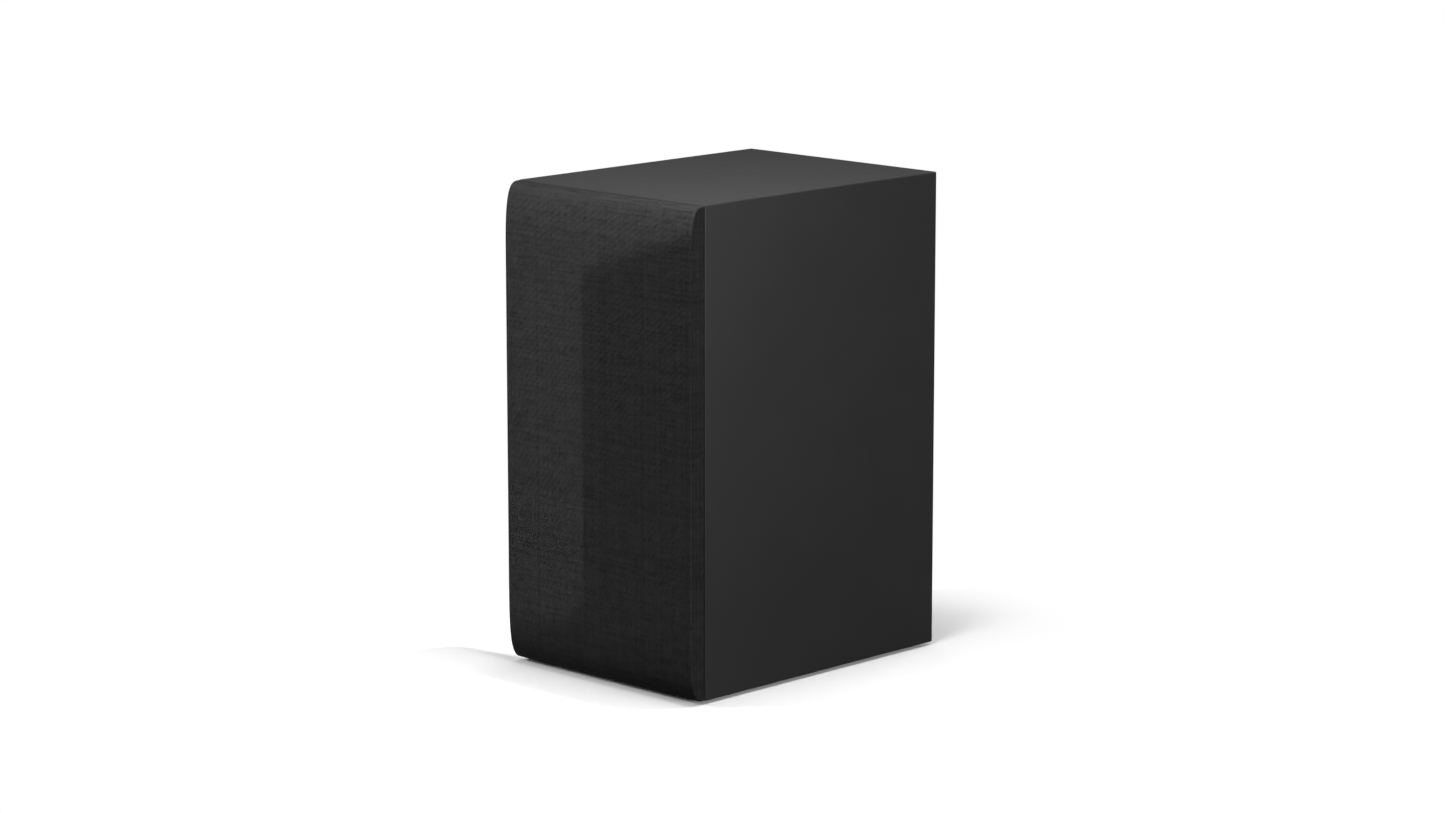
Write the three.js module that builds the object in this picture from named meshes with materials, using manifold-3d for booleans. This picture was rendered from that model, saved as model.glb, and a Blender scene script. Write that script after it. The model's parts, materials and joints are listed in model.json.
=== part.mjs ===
// A compact wireless subwoofer from a soundbar set: a wrapped MDF box with a reflex port and
// an amplifier module at the back, a 130 mm driver in front, and a push-fit fabric grille.
// Millimetres. +Z is up, the grille faces -Y, and the origin is the middle of the footprint.
import * as THREE from "three";
import { mergeVertices } from "three/addons/utils/BufferGeometryUtils.js";
import Module from "manifold-3d";

const wasm = await Module();
wasm.setup();

// ---------------------------------------------------------------- driving dimensions
const WIDTH = 170;
const HEIGHT = 321;
const DEPTH = 231;
const GRILLE_DEPTH = 13;
const FOOT_HEIGHT = 2;
const FOOT_RADIUS = 10;
const PANEL = 9; // thickness of the box walls
const BAFFLE = 12; // thickness of the board that carries the driver
const BAFFLE_RECESS = 6; // from the seam with the grille back to the baffle's face
const REAR_RECESS = 4; // from the box's rear edges in to the rear panel's face
const GAP = 0.3; // clearance between pieces that fit in each other
const DRIVER_SEGMENTS = 28; // facets round every turned piece of the driver
const PORT_SEGMENTS = 32;

const SIDE = WIDTH / 2;
const INNER_SIDE = SIDE - PANEL;
const FRONT = -DEPTH / 2;
const REAR = DEPTH / 2;
const SEAM = FRONT + GRILLE_DEPTH; // plane where the grille meets the box
const FLOOR = FOOT_HEIGHT; // underside of the box
const INNER_FLOOR = FLOOR + PANEL;
const INNER_TOP = HEIGHT - PANEL;
const MIDDLE = (FLOOR + HEIGHT) / 2;
const BAFFLE_FACE = SEAM + BAFFLE_RECESS;
const BAFFLE_BACK = BAFFLE_FACE + BAFFLE;
const REAR_FACE = REAR - REAR_RECESS;
const REAR_INSIDE = REAR_FACE - PANEL;

// grille: lattice holes on a square pitch, centred on the driver
const LATTICE_PITCH = 26;
const LATTICE_HOLE = 22;
const LATTICE_COLUMNS = [-2.5, -1.5, -0.5, 0.5, 1.5, 2.5];
const LATTICE_ROWS = [-5, -4, -3, -2, -1, 0, 1, 2, 3, 4, 5];
const PEG_COLUMNS = [-2.5, 2.5];
const PEG_ROWS = [-5, -2, 2, 5];
const PEG_RADIUS = 3;
const PEG_BOSS = 4.5;
const PEG_GRIP = 8; // how far a peg reaches into the baffle

// driver, measured back from the baffle's face
const CUTOUT = 60;
const RIM_RADIUS = 70;
const SHEET = 1.2; // thickness of the pressed basket
const EAR_RADIUS = 7;
const EAR_CIRCLE = 72;
const CONE_EDGE = 50.2;
const FORMER_RADIUS = 13;
const LEDGE = 36; // back of the basket's step that the spider is glued to
const BASE = 46; // back of the basket's floor
const PLATE_BACK = 51;
const MAGNET_BACK = 66;
const YOKE_BACK = 71;

// reflex port
const PORT_Z = 268;
const PORT_BORE = 22;
const PORT_OUTSIDE = 24.5;
const PORT_FLANGE = 33;
const PORT_END = -5; // inner end of the tube

// amplifier module
const PLATE_SIDE = 59;
const PLATE_BOTTOM = 18;
const PLATE_TOP = 114;
const WINDOW_SIDE = 50; // cut-out in the rear panel
const WINDOW_BOTTOM = 27;
const WINDOW_TOP = 105;
const SEAL = 1;
const PLATE = 1.5;
const SEAL_BACK = REAR_FACE + SEAL; // inner face of the plate
const PLATE_FACE = SEAL_BACK + PLATE; // outer face of the plate
const BOARD_FRONT = 104; // face of the circuit board towards the plate
const BOARD = 1.6;
const BOARD_INSIDE = BOARD_FRONT - BOARD;
const INLET = { x: 38, z: 36, width: 20.5, height: 12, depth: 15.5 };
const BUTTON = { x: 26, z: 98, radius: 4, flange: 5.2 };
const LED = { x: 12, z: 98, radius: 1.5 };
const BOARD_POSTS = [[-43, 33], [19, 33], [-43, 99], [41, 99]];
const PLATE_SCREWS = [-54, 54].flatMap((x) => [23, 66, 109].map((z) => [x, z]));

// ---------------------------------------------------------------- solids from three.js shapes
// A closed three.js geometry as a solid whose faces point outwards.
function solid(geometry) {
  const bare = new THREE.BufferGeometry();
  const source = geometry.index ? geometry.toNonIndexed() : geometry;
  bare.setAttribute("position", source.getAttribute("position").clone());
  const merged = mergeVertices(bare, 1e-4);
  const points = merged.attributes.position.array;
  const corner = (i) => new THREE.Vector3().fromArray(points, 3 * i);
  const triangles = [];
  let volume = 0;
  for (let i = 0; i < merged.index.count; i += 3) {
    const [a, b, c] = merged.index.array.slice(i, i + 3);
    if (a === b || b === c || a === c) continue;
    triangles.push([a, b, c]);
    volume += corner(a).dot(corner(b).cross(corner(c)));
  }
  if (volume < 0) triangles.forEach((t) => t.reverse());
  const triVerts = new Uint32Array(triangles.flat());
  return new wasm.Manifold(new wasm.Mesh({ numProp: 3, vertProperties: points, triVerts }));
}

function geometryOf(made) {
  const mesh = made.getMesh();
  const geometry = new THREE.BufferGeometry();
  geometry.setAttribute("position", new THREE.BufferAttribute(mesh.vertProperties, 3));
  geometry.setIndex(new THREE.BufferAttribute(mesh.triVerts, 1));
  geometry.computeVertexNormals();
  return geometry;
}

const joined = (pieces) => pieces.reduce((whole, piece) => whole.add(piece));
const without = (whole, cuts) => cuts.reduce((left, cut) => left.subtract(cut), whole);

function box([x0, x1], [y0, y1], [z0, z1]) {
  const geometry = new THREE.BoxGeometry(x1 - x0, y1 - y0, z1 - z0);
  return solid(geometry.translate((x0 + x1) / 2, (y0 + y1) / 2, (z0 + z1) / 2));
}

// A cylinder along Y, at x and z.
function rod(radius, [y0, y1], x, z, segments = 14) {
  const geometry = new THREE.CylinderGeometry(radius, radius, y1 - y0, segments);
  return solid(geometry.translate(x, (y0 + y1) / 2, z));
}

// A closed outline of [radius, y] points turned round a line along Y, at x and z.
function turned(outline, x, z, segments) {
  const points = [...outline, outline[0]].map(([r, y]) => new THREE.Vector2(r, y));
  return solid(new THREE.LatheGeometry(points, segments).translate(x, 0, z));
}

// An outline of [x, z] points, pushed along Y.
function alongY(outline, [y0, y1], holes = []) {
  const flat = (points) => points.map(([x, z]) => new THREE.Vector2(x, z));
  const shape = new THREE.Shape(flat(outline));
  shape.holes = holes.map((hole) => new THREE.Path(flat(hole)));
  const geometry = new THREE.ExtrudeGeometry(shape, { depth: y1 - y0, bevelEnabled: false });
  return solid(geometry.rotateX(Math.PI / 2).translate(0, y1, 0));
}

// An outline of [y, z] points, pushed along X.
function alongX(outline, [x0, x1]) {
  const shape = new THREE.Shape(outline.map(([y, z]) => new THREE.Vector2(y, z)));
  const geometry = new THREE.ExtrudeGeometry(shape, { depth: x1 - x0, bevelEnabled: false });
  const turn = new THREE.Matrix4().set(0, 0, 1, x0, 1, 0, 0, 0, 0, 1, 0, 0, 0, 0, 0, 1);
  return solid(geometry.applyMatrix4(turn));
}

// Points on an arc about [x, z], from one angle to another, in degrees.
function arc([x, z], radius, from, to, steps) {
  return Array.from({ length: steps + 1 }, (_, i) => {
    const angle = THREE.MathUtils.degToRad(from + ((to - from) * i) / steps);
    return [x + radius * Math.cos(angle), z + radius * Math.sin(angle)];
  });
}

const circle = (centre, radius, steps = 12) => arc(centre, radius, 0, 360, steps).slice(0, -1);

function roundedRectangle([x0, x1], [z0, z1], radius, steps = 4) {
  return [
    ...arc([x1 - radius, z1 - radius], radius, 0, 90, steps),
    ...arc([x0 + radius, z1 - radius], radius, 90, 180, steps),
    ...arc([x0 + radius, z0 + radius], radius, 180, 270, steps),
    ...arc([x1 - radius, z0 + radius], radius, 270, 360, steps),
  ];
}

// A round lead of the given points.
function lead(points, radius, steps) {
  const path = new THREE.CatmullRomCurve3(points.map((p) => new THREE.Vector3(...p)));
  const section = new THREE.Shape(circle([0, 0], radius, 8).map(([x, y]) => new THREE.Vector2(x, y)));
  return solid(new THREE.ExtrudeGeometry(section, { steps, extrudePath: path }));
}

// ---------------------------------------------------------------- materials and assembly
const finish = (color, roughness, metalness = 0) => ({ color, roughness, metalness });
const VINYL = finish(0x1c1c1c, 0.5);
const MDF = finish(0x8a6a48, 0.85);
const CLOTH = finish(0x242424, 0.9);
const ABS = finish(0x161616, 0.6);
const STEEL = finish(0x9a9c9e, 0.35, 0.9);
const BLACK_STEEL = finish(0x1a1a1a, 0.5, 0.7);
const RUBBER = finish(0x121212, 0.8);
const PAPER = finish(0x202020, 0.85);
const FERRITE = finish(0x3a3a3c, 0.7);
const COPPER = finish(0xb06a3a, 0.35, 0.9);
const ALUMINIUM = finish(0xb4b7ba, 0.4, 0.9);
const BOARD_GREEN = finish(0x1d5a36, 0.5);
const NICKEL = finish(0xc6c6c2, 0.3, 1);
const LENS = finish(0xe8efe8, 0.2);
const WADDING = finish(0xd6d4cc, 0.95);

const subwoofer = new THREE.Group();

function add(name, made, look, parent = subwoofer) {
  const mesh = new THREE.Mesh(geometryOf(made), new THREE.MeshStandardMaterial(look));
  mesh.name = name;
  parent.add(mesh);
}

// ---------------------------------------------------------------- the box
// Two side walls, a top and a bottom, mitred at the four long edges.
function addWalls() {
  const corners = {
    outside: [[-SIDE, FLOOR], [SIDE, FLOOR], [SIDE, HEIGHT], [-SIDE, HEIGHT]],
    inside: [[-INNER_SIDE, INNER_FLOOR], [INNER_SIDE, INNER_FLOOR],
      [INNER_SIDE, INNER_TOP], [-INNER_SIDE, INNER_TOP]],
  };
  const names = ["bottom_panel", "side_panel_right", "top_panel", "side_panel_left"];
  names.forEach((name, i) => {
    const next = (i + 1) % names.length;
    const { outside, inside } = corners;
    const outline = [outside[i], outside[next], inside[next], inside[i]];
    add(name, alongY(outline, [SEAM, REAR]), VINYL);
  });
}

const latticeX = (column) => column * LATTICE_PITCH;
const latticeZ = (row) => MIDDLE + row * LATTICE_PITCH;
const pegs = PEG_COLUMNS.flatMap((column) => PEG_ROWS.map((row) => [latticeX(column), latticeZ(row)]));
const ears = [45, 135, 225, 315].map((angle) => {
  const turn = THREE.MathUtils.degToRad(angle);
  return [EAR_CIRCLE * Math.cos(turn), MIDDLE + EAR_CIRCLE * Math.sin(turn)];
});

const SCREW_SHAFT = 1.8;
const PILOT = SCREW_SHAFT + GAP;

function addBaffle() {
  const outline = roundedRectangle([-INNER_SIDE, INNER_SIDE], [INNER_FLOOR, INNER_TOP], 0.5, 1);
  const holes = [
    circle([0, MIDDLE], CUTOUT, DRIVER_SEGMENTS),
    ...pegs.map((peg) => circle(peg, PEG_RADIUS + GAP)),
    ...ears.map((ear) => circle(ear, PILOT, 12)),
  ];
  add("front_baffle", alongY(outline, [BAFFLE_FACE, BAFFLE_BACK], holes), MDF);
}

function addRearPanel() {
  const outline = roundedRectangle([-INNER_SIDE, INNER_SIDE], [INNER_FLOOR, INNER_TOP], 0.5, 1);
  const window = roundedRectangle([-WINDOW_SIDE, WINDOW_SIDE], [WINDOW_BOTTOM, WINDOW_TOP], 3, 3);
  const holes = [
    circle([0, PORT_Z], PORT_OUTSIDE + GAP, PORT_SEGMENTS),
    window,
    ...PLATE_SCREWS.map((screw) => circle(screw, PILOT, 12)),
  ];
  add("rear_panel", alongY(outline, [REAR_INSIDE, REAR_FACE], holes), VINYL);
}

function addFeet() {
  const FOOT_X = 67;
  const places = { front_left: [-FOOT_X, -85], front_right: [FOOT_X, -85],
    rear_left: [-FOOT_X, 98], rear_right: [FOOT_X, 98] };
  const outline = [[0, 0], [FOOT_RADIUS - 0.8, 0], [FOOT_RADIUS, 0.8],
    [FOOT_RADIUS, FOOT_HEIGHT], [0, FOOT_HEIGHT]];
  const points = outline.map(([r, y]) => new THREE.Vector2(r, y));
  for (const [place, [x, y]] of Object.entries(places)) {
    const upright = new THREE.LatheGeometry(points, 20).rotateX(Math.PI / 2).translate(x, y, 0);
    add("foot_" + place, solid(upright), RUBBER);
  }
}

function addWadding() {
  const THICKNESS = 15;
  const outline = [[-20, 120], [90, 120], [90, 290], [-20, 290]];
  const sheet = alongX(outline, [-INNER_SIDE, -INNER_SIDE + THICKNESS]);
  add("damping_wadding", sheet, WADDING);
}

// ---------------------------------------------------------------- the driver
// A turned piece of the driver, its outline given as [radius, distance behind the baffle's face].
function driverRing(outline, segments = DRIVER_SEGMENTS) {
  return turned(outline.map(([r, w]) => [r, BAFFLE_FACE + w]), 0, MIDDLE, segments);
}

function addBasket() {
  const shell = driverRing([
    [RIM_RADIUS, -SHEET], [58.2, -SHEET], [57.8, 2], [56.3, 13.6], [44, LEDGE - SHEET],
    [37.8, LEDGE - SHEET], [37.8, BASE - SHEET], [15.5, BASE - SHEET], [15.5, BASE],
    [39, BASE], [39, LEDGE], [45.2, LEDGE], [57.5, 14], [59, 2], [59.5, 0], [RIM_RADIUS, 0],
  ]);
  const lugs = ears.map(([x, z]) => rod(EAR_RADIUS, [BAFFLE_FACE - SHEET, BAFFLE_FACE], x, z));
  const holes = ears.map(([x, z]) => rod(2.2, [BAFFLE_FACE - 3, BAFFLE_FACE + 1], x, z, 12));
  const WINDOWS = 6;
  const HALF_WINDOW = 20; // degrees
  const windows = Array.from({ length: WINDOWS }, (_, i) => {
    const middle = (360 / WINDOWS) * i;
    const outer = arc([0, MIDDLE], 64, middle - HALF_WINDOW, middle + HALF_WINDOW, 4);
    const inner = arc([0, MIDDLE], 40, middle + HALF_WINDOW, middle - HALF_WINDOW, 4);
    return alongY([...outer, ...inner], [BAFFLE_BACK + 2, BAFFLE_FACE + 30]);
  });
  add("woofer_basket", without(joined([shell, ...lugs]), [...holes, ...windows]), BLACK_STEEL);
}

// The half roll between the cone and the rim, with a flat lip on each.
function addSurround() {
  const SKIN = 0.7;
  const ROLL_RADIUS = 5.2;
  const ROLL_CENTRE = 55.5;
  const lipBack = -SHEET;
  const lipFront = lipBack - SKIN;
  const roll = (radius, base, from, to) => arc([ROLL_CENTRE, base], radius, from, to, 6);
  const outline = [
    [47, lipFront], [ROLL_CENTRE - ROLL_RADIUS - SKIN / 2, lipFront],
    ...roll(ROLL_RADIUS + SKIN / 2, lipFront, 180, 360).slice(1, -1),
    [ROLL_CENTRE + ROLL_RADIUS + SKIN / 2, lipFront], [67, lipFront], [67, lipBack],
    [ROLL_CENTRE + ROLL_RADIUS - SKIN / 2, lipBack],
    ...roll(ROLL_RADIUS - SKIN / 2, lipBack, 360, 180).slice(1, -1),
    [ROLL_CENTRE - ROLL_RADIUS + SKIN / 2, lipBack], [47, lipBack],
  ];
  add("surround", driverRing(outline), RUBBER);
  add("woofer_gasket", driverRing([[61.7, lipFront - 2], [67, lipFront - 2], [67, lipFront],
    [61.7, lipFront]]), RUBBER);
}

// The corrugated disc that centres the coil: waves between the former and the basket's ledge.
function addSpider() {
  const SKIN = 0.7;
  const [INNER, OUTER] = [17, 37];
  const WAVES = 2;
  const STEPS = 8;
  const back = LEDGE - SHEET;
  const level = (r) => {
    const along = (r - INNER) / (OUTER - INNER);
    return back - 1.5 * Math.sin(2 * Math.PI * WAVES * along);
  };
  const radii = Array.from({ length: STEPS + 1 }, (_, i) => INNER + ((OUTER - INNER) * i) / STEPS);
  const front = radii.map((r) => [r, level(r) - SKIN]);
  const rear = radii.map((r) => [r, level(r)]).reverse();
  const outline = [[FORMER_RADIUS, back - SKIN], ...front, [43, back - SKIN], [43, back], ...rear,
    [FORMER_RADIUS, back]];
  add("spider", driverRing(outline), PAPER);
}

function addMotor() {
  add("magnet_top_plate", driverRing([[14.6, BASE], [40, BASE], [40, PLATE_BACK], [14.6, PLATE_BACK]]),
    STEEL);
  add("magnet_ring", driverRing([[22, PLATE_BACK], [44.4, PLATE_BACK], [45, PLATE_BACK + 0.6],
    [45, MAGNET_BACK - 0.6], [44.4, MAGNET_BACK], [22, MAGNET_BACK]]), FERRITE);
  add("magnet_yoke", driverRing([[4, BASE], [12, BASE], [12, MAGNET_BACK], [42, MAGNET_BACK],
    [42, YOKE_BACK], [4, YOKE_BACK]]), STEEL);
  const strip = box([-8, 8], [BAFFLE_FACE + LEDGE, BAFFLE_FACE + LEDGE + 2],
    [MIDDLE + 39.6, MIDDLE + 51]);
  add("driver_terminal_strip", strip, BOARD_GREEN);
}

// Everything that moves with the cone.
function addMovingParts() {
  const NECK = 21;
  const CONE_LIP = 3; // width of the flat edge that the surround is glued to
  const PAPER_THICKNESS = 1;
  const CAP_RADIUS = 20;
  const CAP_SKIN = 0.8;
  const FORMER_INSIDE = 12.4;
  const WINDING_RADIUS = 13.9;
  const WINDING_FRONT = 43.5;
  const COIL_BACK = 53.5;
  const slopeStart = CONE_EDGE - CONE_LIP;
  const slope = (NECK - 0.5 + SHEET) / (slopeStart - FORMER_RADIUS);
  const coneFront = (r) => -SHEET + (slopeStart - r) * slope;
  const lipBack = -SHEET + PAPER_THICKNESS;
  const cone = [
    [CONE_EDGE, -SHEET], [slopeStart, -SHEET], [FORMER_RADIUS, coneFront(FORMER_RADIUS)],
    [FORMER_RADIUS, NECK + 1], [slopeStart - 0.4, lipBack], [CONE_EDGE, lipBack],
  ];
  add("cone", driverRing(cone), PAPER);
  const domeLevel = coneFront(CAP_RADIUS);
  const DOME_HEIGHT = 8;
  const dome = (radius, height, steps) => Array.from({ length: steps + 1 }, (_, i) => {
    const turn = (Math.PI / 2) * (1 - i / steps);
    return [radius * Math.cos(turn), domeLevel - height * Math.sin(turn)];
  });
  const capInside = CAP_RADIUS - CAP_SKIN;
  const cap = [...dome(CAP_RADIUS, DOME_HEIGHT, 5), [capInside, coneFront(capInside)],
    ...dome(capInside, DOME_HEIGHT - CAP_SKIN, 5).reverse()];
  add("dust_cap", driverRing(cap), PAPER);
  add("voice_coil_former", driverRing([[FORMER_INSIDE, NECK - 1.5], [FORMER_RADIUS, NECK - 1.5],
    [FORMER_RADIUS, COIL_BACK], [FORMER_INSIDE, COIL_BACK]]), ALUMINIUM);
  add("voice_coil_winding", driverRing([[FORMER_RADIUS, WINDING_FRONT],
    [WINDING_RADIUS, WINDING_FRONT], [WINDING_RADIUS, COIL_BACK], [FORMER_RADIUS, COIL_BACK]]), COPPER);
}

// A pan-head screw along Y whose head sits on the plane y = face, pointing to `into`.
function screw([x, z], face, headRadius, headHeight, shaftRadius, length, into) {
  const outline = [
    [0, face - into * headHeight], [headRadius - 0.9, face - into * headHeight],
    [headRadius, face - into * headHeight * 0.4], [headRadius, face], [shaftRadius, face],
    [shaftRadius, face + into * length], [0, face + into * length],
  ];
  return turned(outline, x, z, 10);
}

function addDriverScrews() {
  ears.forEach((ear, i) => {
    const made = screw(ear, BAFFLE_FACE - SHEET, 3.8, 2, SCREW_SHAFT, 11, 1);
    add("woofer_screw_" + (i + 1), made, BLACK_STEEL);
  });
}

// ---------------------------------------------------------------- the grille
// The grille's side outline: flat in front, rounded to the box's edges above and below by a
// superellipse. `inset` moves the whole outline inwards, to stack cloth on its frame.
const ROUND_HEIGHT = 50; // how far the rounding reaches from the top and bottom edges
const ROUND_POWER_Z = 3.34;
const ROUND_POWER_Y = 3.43;
const GRILLE_MARGIN = 0.2; // the cloth stands this much inside the box's outline

function grilleOutline(inset, frontInset = inset, back = SEAM) {
  const STEPS = 10;
  const low = FLOOR + GRILLE_MARGIN + inset;
  const high = HEIGHT - GRILLE_MARGIN - inset;
  const reach = GRILLE_DEPTH - frontInset;
  const tall = ROUND_HEIGHT - inset;
  const round = Array.from({ length: STEPS + 1 }, (_, i) => {
    const turn = (Math.PI / 2) * (i / STEPS);
    const up = tall * (1 - Math.cos(turn) ** (2 / ROUND_POWER_Z));
    return [SEAM - reach * Math.sin(turn) ** (2 / ROUND_POWER_Y), up];
  });
  const bottom = round.slice(1).map(([y, up]) => [y, low + up]);
  const top = round.slice(1).map(([y, up]) => [y, high - up]).reverse();
  return [[back, low], ...bottom, ...top, [back, high]];
}

function addGrille() {
  const CLOTH_THICKNESS = 0.7;
  const FRAME_INSET = CLOTH_THICKNESS + GAP;
  const WALL = 3;
  const FRONT_WALL = 2.2;
  const half = SIDE - GRILLE_MARGIN;
  const insideHalf = half - FRAME_INSET - WALL;
  const past = SEAM + 1;

  const cloth = without(alongX(grilleOutline(0, 0, SEAM - GAP), [-half, half]),
    [alongX(grilleOutline(CLOTH_THICKNESS, CLOTH_THICKNESS, past),
      [-half + CLOTH_THICKNESS, half - CLOTH_THICKNESS])]);
  add("grille_fabric", cloth, CLOTH);

  const tray = without(alongX(grilleOutline(FRAME_INSET), [-half + FRAME_INSET, half - FRAME_INSET]),
    [alongX(grilleOutline(FRAME_INSET + WALL, FRAME_INSET + FRONT_WALL, past),
      [-insideHalf, insideHalf])]);
  const isPeg = (column, row) => PEG_COLUMNS.includes(column) && PEG_ROWS.includes(row);
  const span = (centre) => [centre - LATTICE_HOLE / 2, centre + LATTICE_HOLE / 2];
  const holes = LATTICE_COLUMNS.flatMap((column) => LATTICE_ROWS
    .filter((row) => !isPeg(column, row))
    .map((row) => box(span(latticeX(column)), [FRONT - 1, FRONT + 6], span(latticeZ(row)))));
  const frontInside = FRONT + FRAME_INSET + FRONT_WALL;
  const studs = pegs.map(([x, z]) => turned([
    [0, frontInside - 1], [PEG_BOSS, frontInside - 1], [PEG_BOSS, BAFFLE_FACE - GAP],
    [PEG_RADIUS, BAFFLE_FACE - GAP], [PEG_RADIUS, BAFFLE_FACE + PEG_GRIP - 1],
    [PEG_RADIUS - 1, BAFFLE_FACE + PEG_GRIP], [0, BAFFLE_FACE + PEG_GRIP],
  ], x, z, 10));
  add("grille_frame", joined([without(tray, holes), ...studs]), ABS);
}

// ---------------------------------------------------------------- the reflex port
function addPort() {
  const FLANGE = 3;
  const MOUTH_RADIUS = 5;
  const FLARE_RADIUS = 8;
  const SLEEVE = 2; // thickness of the sleeve that grips the tube's inner end
  const SLEEVE_LENGTH = 10;
  const lip = REAR_FACE + FLANGE;
  const tube = [
    ...arc([PORT_BORE + MOUTH_RADIUS, lip - MOUTH_RADIUS], MOUTH_RADIUS, 180, 90, 5),
    [PORT_FLANGE - 1, lip], [PORT_FLANGE, lip - 1], [PORT_FLANGE, REAR_FACE],
    [PORT_OUTSIDE, REAR_FACE], [PORT_OUTSIDE, PORT_END], [PORT_BORE, PORT_END],
  ];
  add("port_tube", turned(tube, 0, PORT_Z, PORT_SEGMENTS), ABS);
  const flare = [
    [PORT_OUTSIDE, PORT_END + SLEEVE_LENGTH], [PORT_OUTSIDE, PORT_END], [PORT_BORE, PORT_END],
    ...arc([PORT_BORE + FLARE_RADIUS, PORT_END], FLARE_RADIUS, 180, 270, 5).slice(1),
    [PORT_BORE + 10, PORT_END - 7], [PORT_OUTSIDE + SLEEVE, PORT_END - 1],
    [PORT_OUTSIDE + SLEEVE, PORT_END + SLEEVE_LENGTH],
  ];
  add("port_inner_flare", turned(flare, 0, PORT_Z, PORT_SEGMENTS), ABS);
}

// ---------------------------------------------------------------- the amplifier module
function addPlate() {
  const outline = roundedRectangle([-PLATE_SIDE, PLATE_SIDE], [PLATE_BOTTOM, PLATE_TOP], 4);
  const { x, z, width, height } = INLET;
  const inletHole = roundedRectangle([x - width / 2 - GAP, x + width / 2 + GAP],
    [z - height / 2 - GAP, z + height / 2 + GAP], 1, 2);
  const screwHoles = PLATE_SCREWS.map((place) => circle(place, PILOT, 12));
  const holes = [
    inletHole, circle([BUTTON.x, BUTTON.z], BUTTON.radius + GAP),
    circle([LED.x, LED.z], LED.radius + GAP, 12), ...screwHoles,
  ];
  const plate = alongY(outline, [SEAL_BACK, PLATE_FACE], holes);
  const posts = BOARD_POSTS.map(([px, pz]) => {
    const post = rod(3, [BOARD_FRONT, SEAL_BACK + 0.1], px, pz, 16);
    return post.subtract(rod(1.5, [BOARD_FRONT - 1, SEAL_BACK - 1], px, pz, 10));
  });
  add("amp_plate", joined([plate, ...posts]), BLACK_STEEL);
  const window = roundedRectangle([-WINDOW_SIDE, WINDOW_SIDE], [WINDOW_BOTTOM, WINDOW_TOP], 3, 3);
  add("amp_gasket", alongY(outline, [REAR_FACE, SEAL_BACK], [window, ...screwHoles]), RUBBER);
  PLATE_SCREWS.forEach((place, i) => {
    const made = screw(place, PLATE_FACE, 3.6, 1.4, SCREW_SHAFT, 10, -1);
    add("amp_plate_screw_" + (i + 1), made, BLACK_STEEL);
  });
}

function addBoard() {
  const outline = [[-48, 28], [24, 28], [24, 50], [46, 50], [46, 104], [-48, 104]];
  const holes = BOARD_POSTS.map((post) => circle(post, 1.5, 10));
  add("amp_board", alongY(outline, [BOARD_INSIDE, BOARD_FRONT], holes), BOARD_GREEN);
  BOARD_POSTS.forEach((post, i) => {
    add("board_screw_" + (i + 1), screw(post, BOARD_INSIDE, 2.5, 1.4, 1.2, 8, 1), STEEL);
  });
}

// The pieces on the side of the board that faces into the box.
function addBoardParts() {
  const top = BOARD_INSIDE;
  const coreX = -26;
  const coreZ = 65;
  const leg = 3.5; // half width of the core's middle leg
  const bobbin = 13; // half length of the winding
  const core = without(box([coreX - 14, coreX + 14], [top - 20, top], [coreZ - 7, coreZ + 7]),
    [-1, 1].map((side) => {
      const edges = [coreX + side * leg, coreX + side * 10.5];
      return box([Math.min(...edges), Math.max(...edges)], [top - 17, top - 3], [coreZ - 8, coreZ + 8]);
    }));
  add("transformer_core", core, FERRITE);
  const [turnsY0, turnsY1] = [top - 16.6, top - 3];
  const turns = without(
    alongY(roundedRectangle([coreX - 10.2, coreX + 10.2], [coreZ - bobbin, coreZ + bobbin], 4),
      [turnsY0, turnsY1]),
    [box([coreX - leg - GAP, coreX + leg + GAP], [turnsY0 - 1, turnsY1 + 1],
      [coreZ - 7 - GAP, coreZ + 7 + GAP])]);
  add("transformer_winding", turns, COPPER);

  const can = [[0, top], [8.4, top], [9, top - 1], [9, top - 3], [8.5, top - 3.6], [9, top - 4.2],
    [9, top - 27], [8.2, top - 28], [0, top - 28]];
  add("bulk_capacitor", turned(can, 2, 44, 16), PAPER);

  const FINS = 6;
  const FIN = 1.6;
  const [sinkLeft, sinkRight] = [20, 44];
  const sinkHeight = [56, 88];
  const base = box([sinkLeft, sinkRight], [top - 3, top], sinkHeight);
  const fins = Array.from({ length: FINS }, (_, i) => {
    const x = sinkLeft + ((sinkRight - sinkLeft - FIN) / (FINS - 1)) * i;
    return box([x, x + FIN], [top - 20, top - 2], sinkHeight);
  });
  add("heatsink", joined([base, ...fins]), ALUMINIUM);

  const ring = new THREE.TorusGeometry(7.6, 3.2, 8, 16).rotateX(Math.PI / 2);
  add("output_inductor", solid(ring.translate(-28, top - 3.2, 91)), COPPER);

  const fuse = new THREE.CylinderGeometry(2.6, 2.6, 20, 16).rotateZ(Math.PI / 2);
  add("mains_fuse", solid(fuse.translate(-24, top - 2.7, 38)), NICKEL);

  add("wireless_module", box([-12, 12], [top - 1.2, top], [80, 102]), BOARD_GREEN);
  add("rf_shield_can", box([-8, 6], [top - 3.6, top - 1.2], [83, 97]), NICKEL);
}

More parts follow.
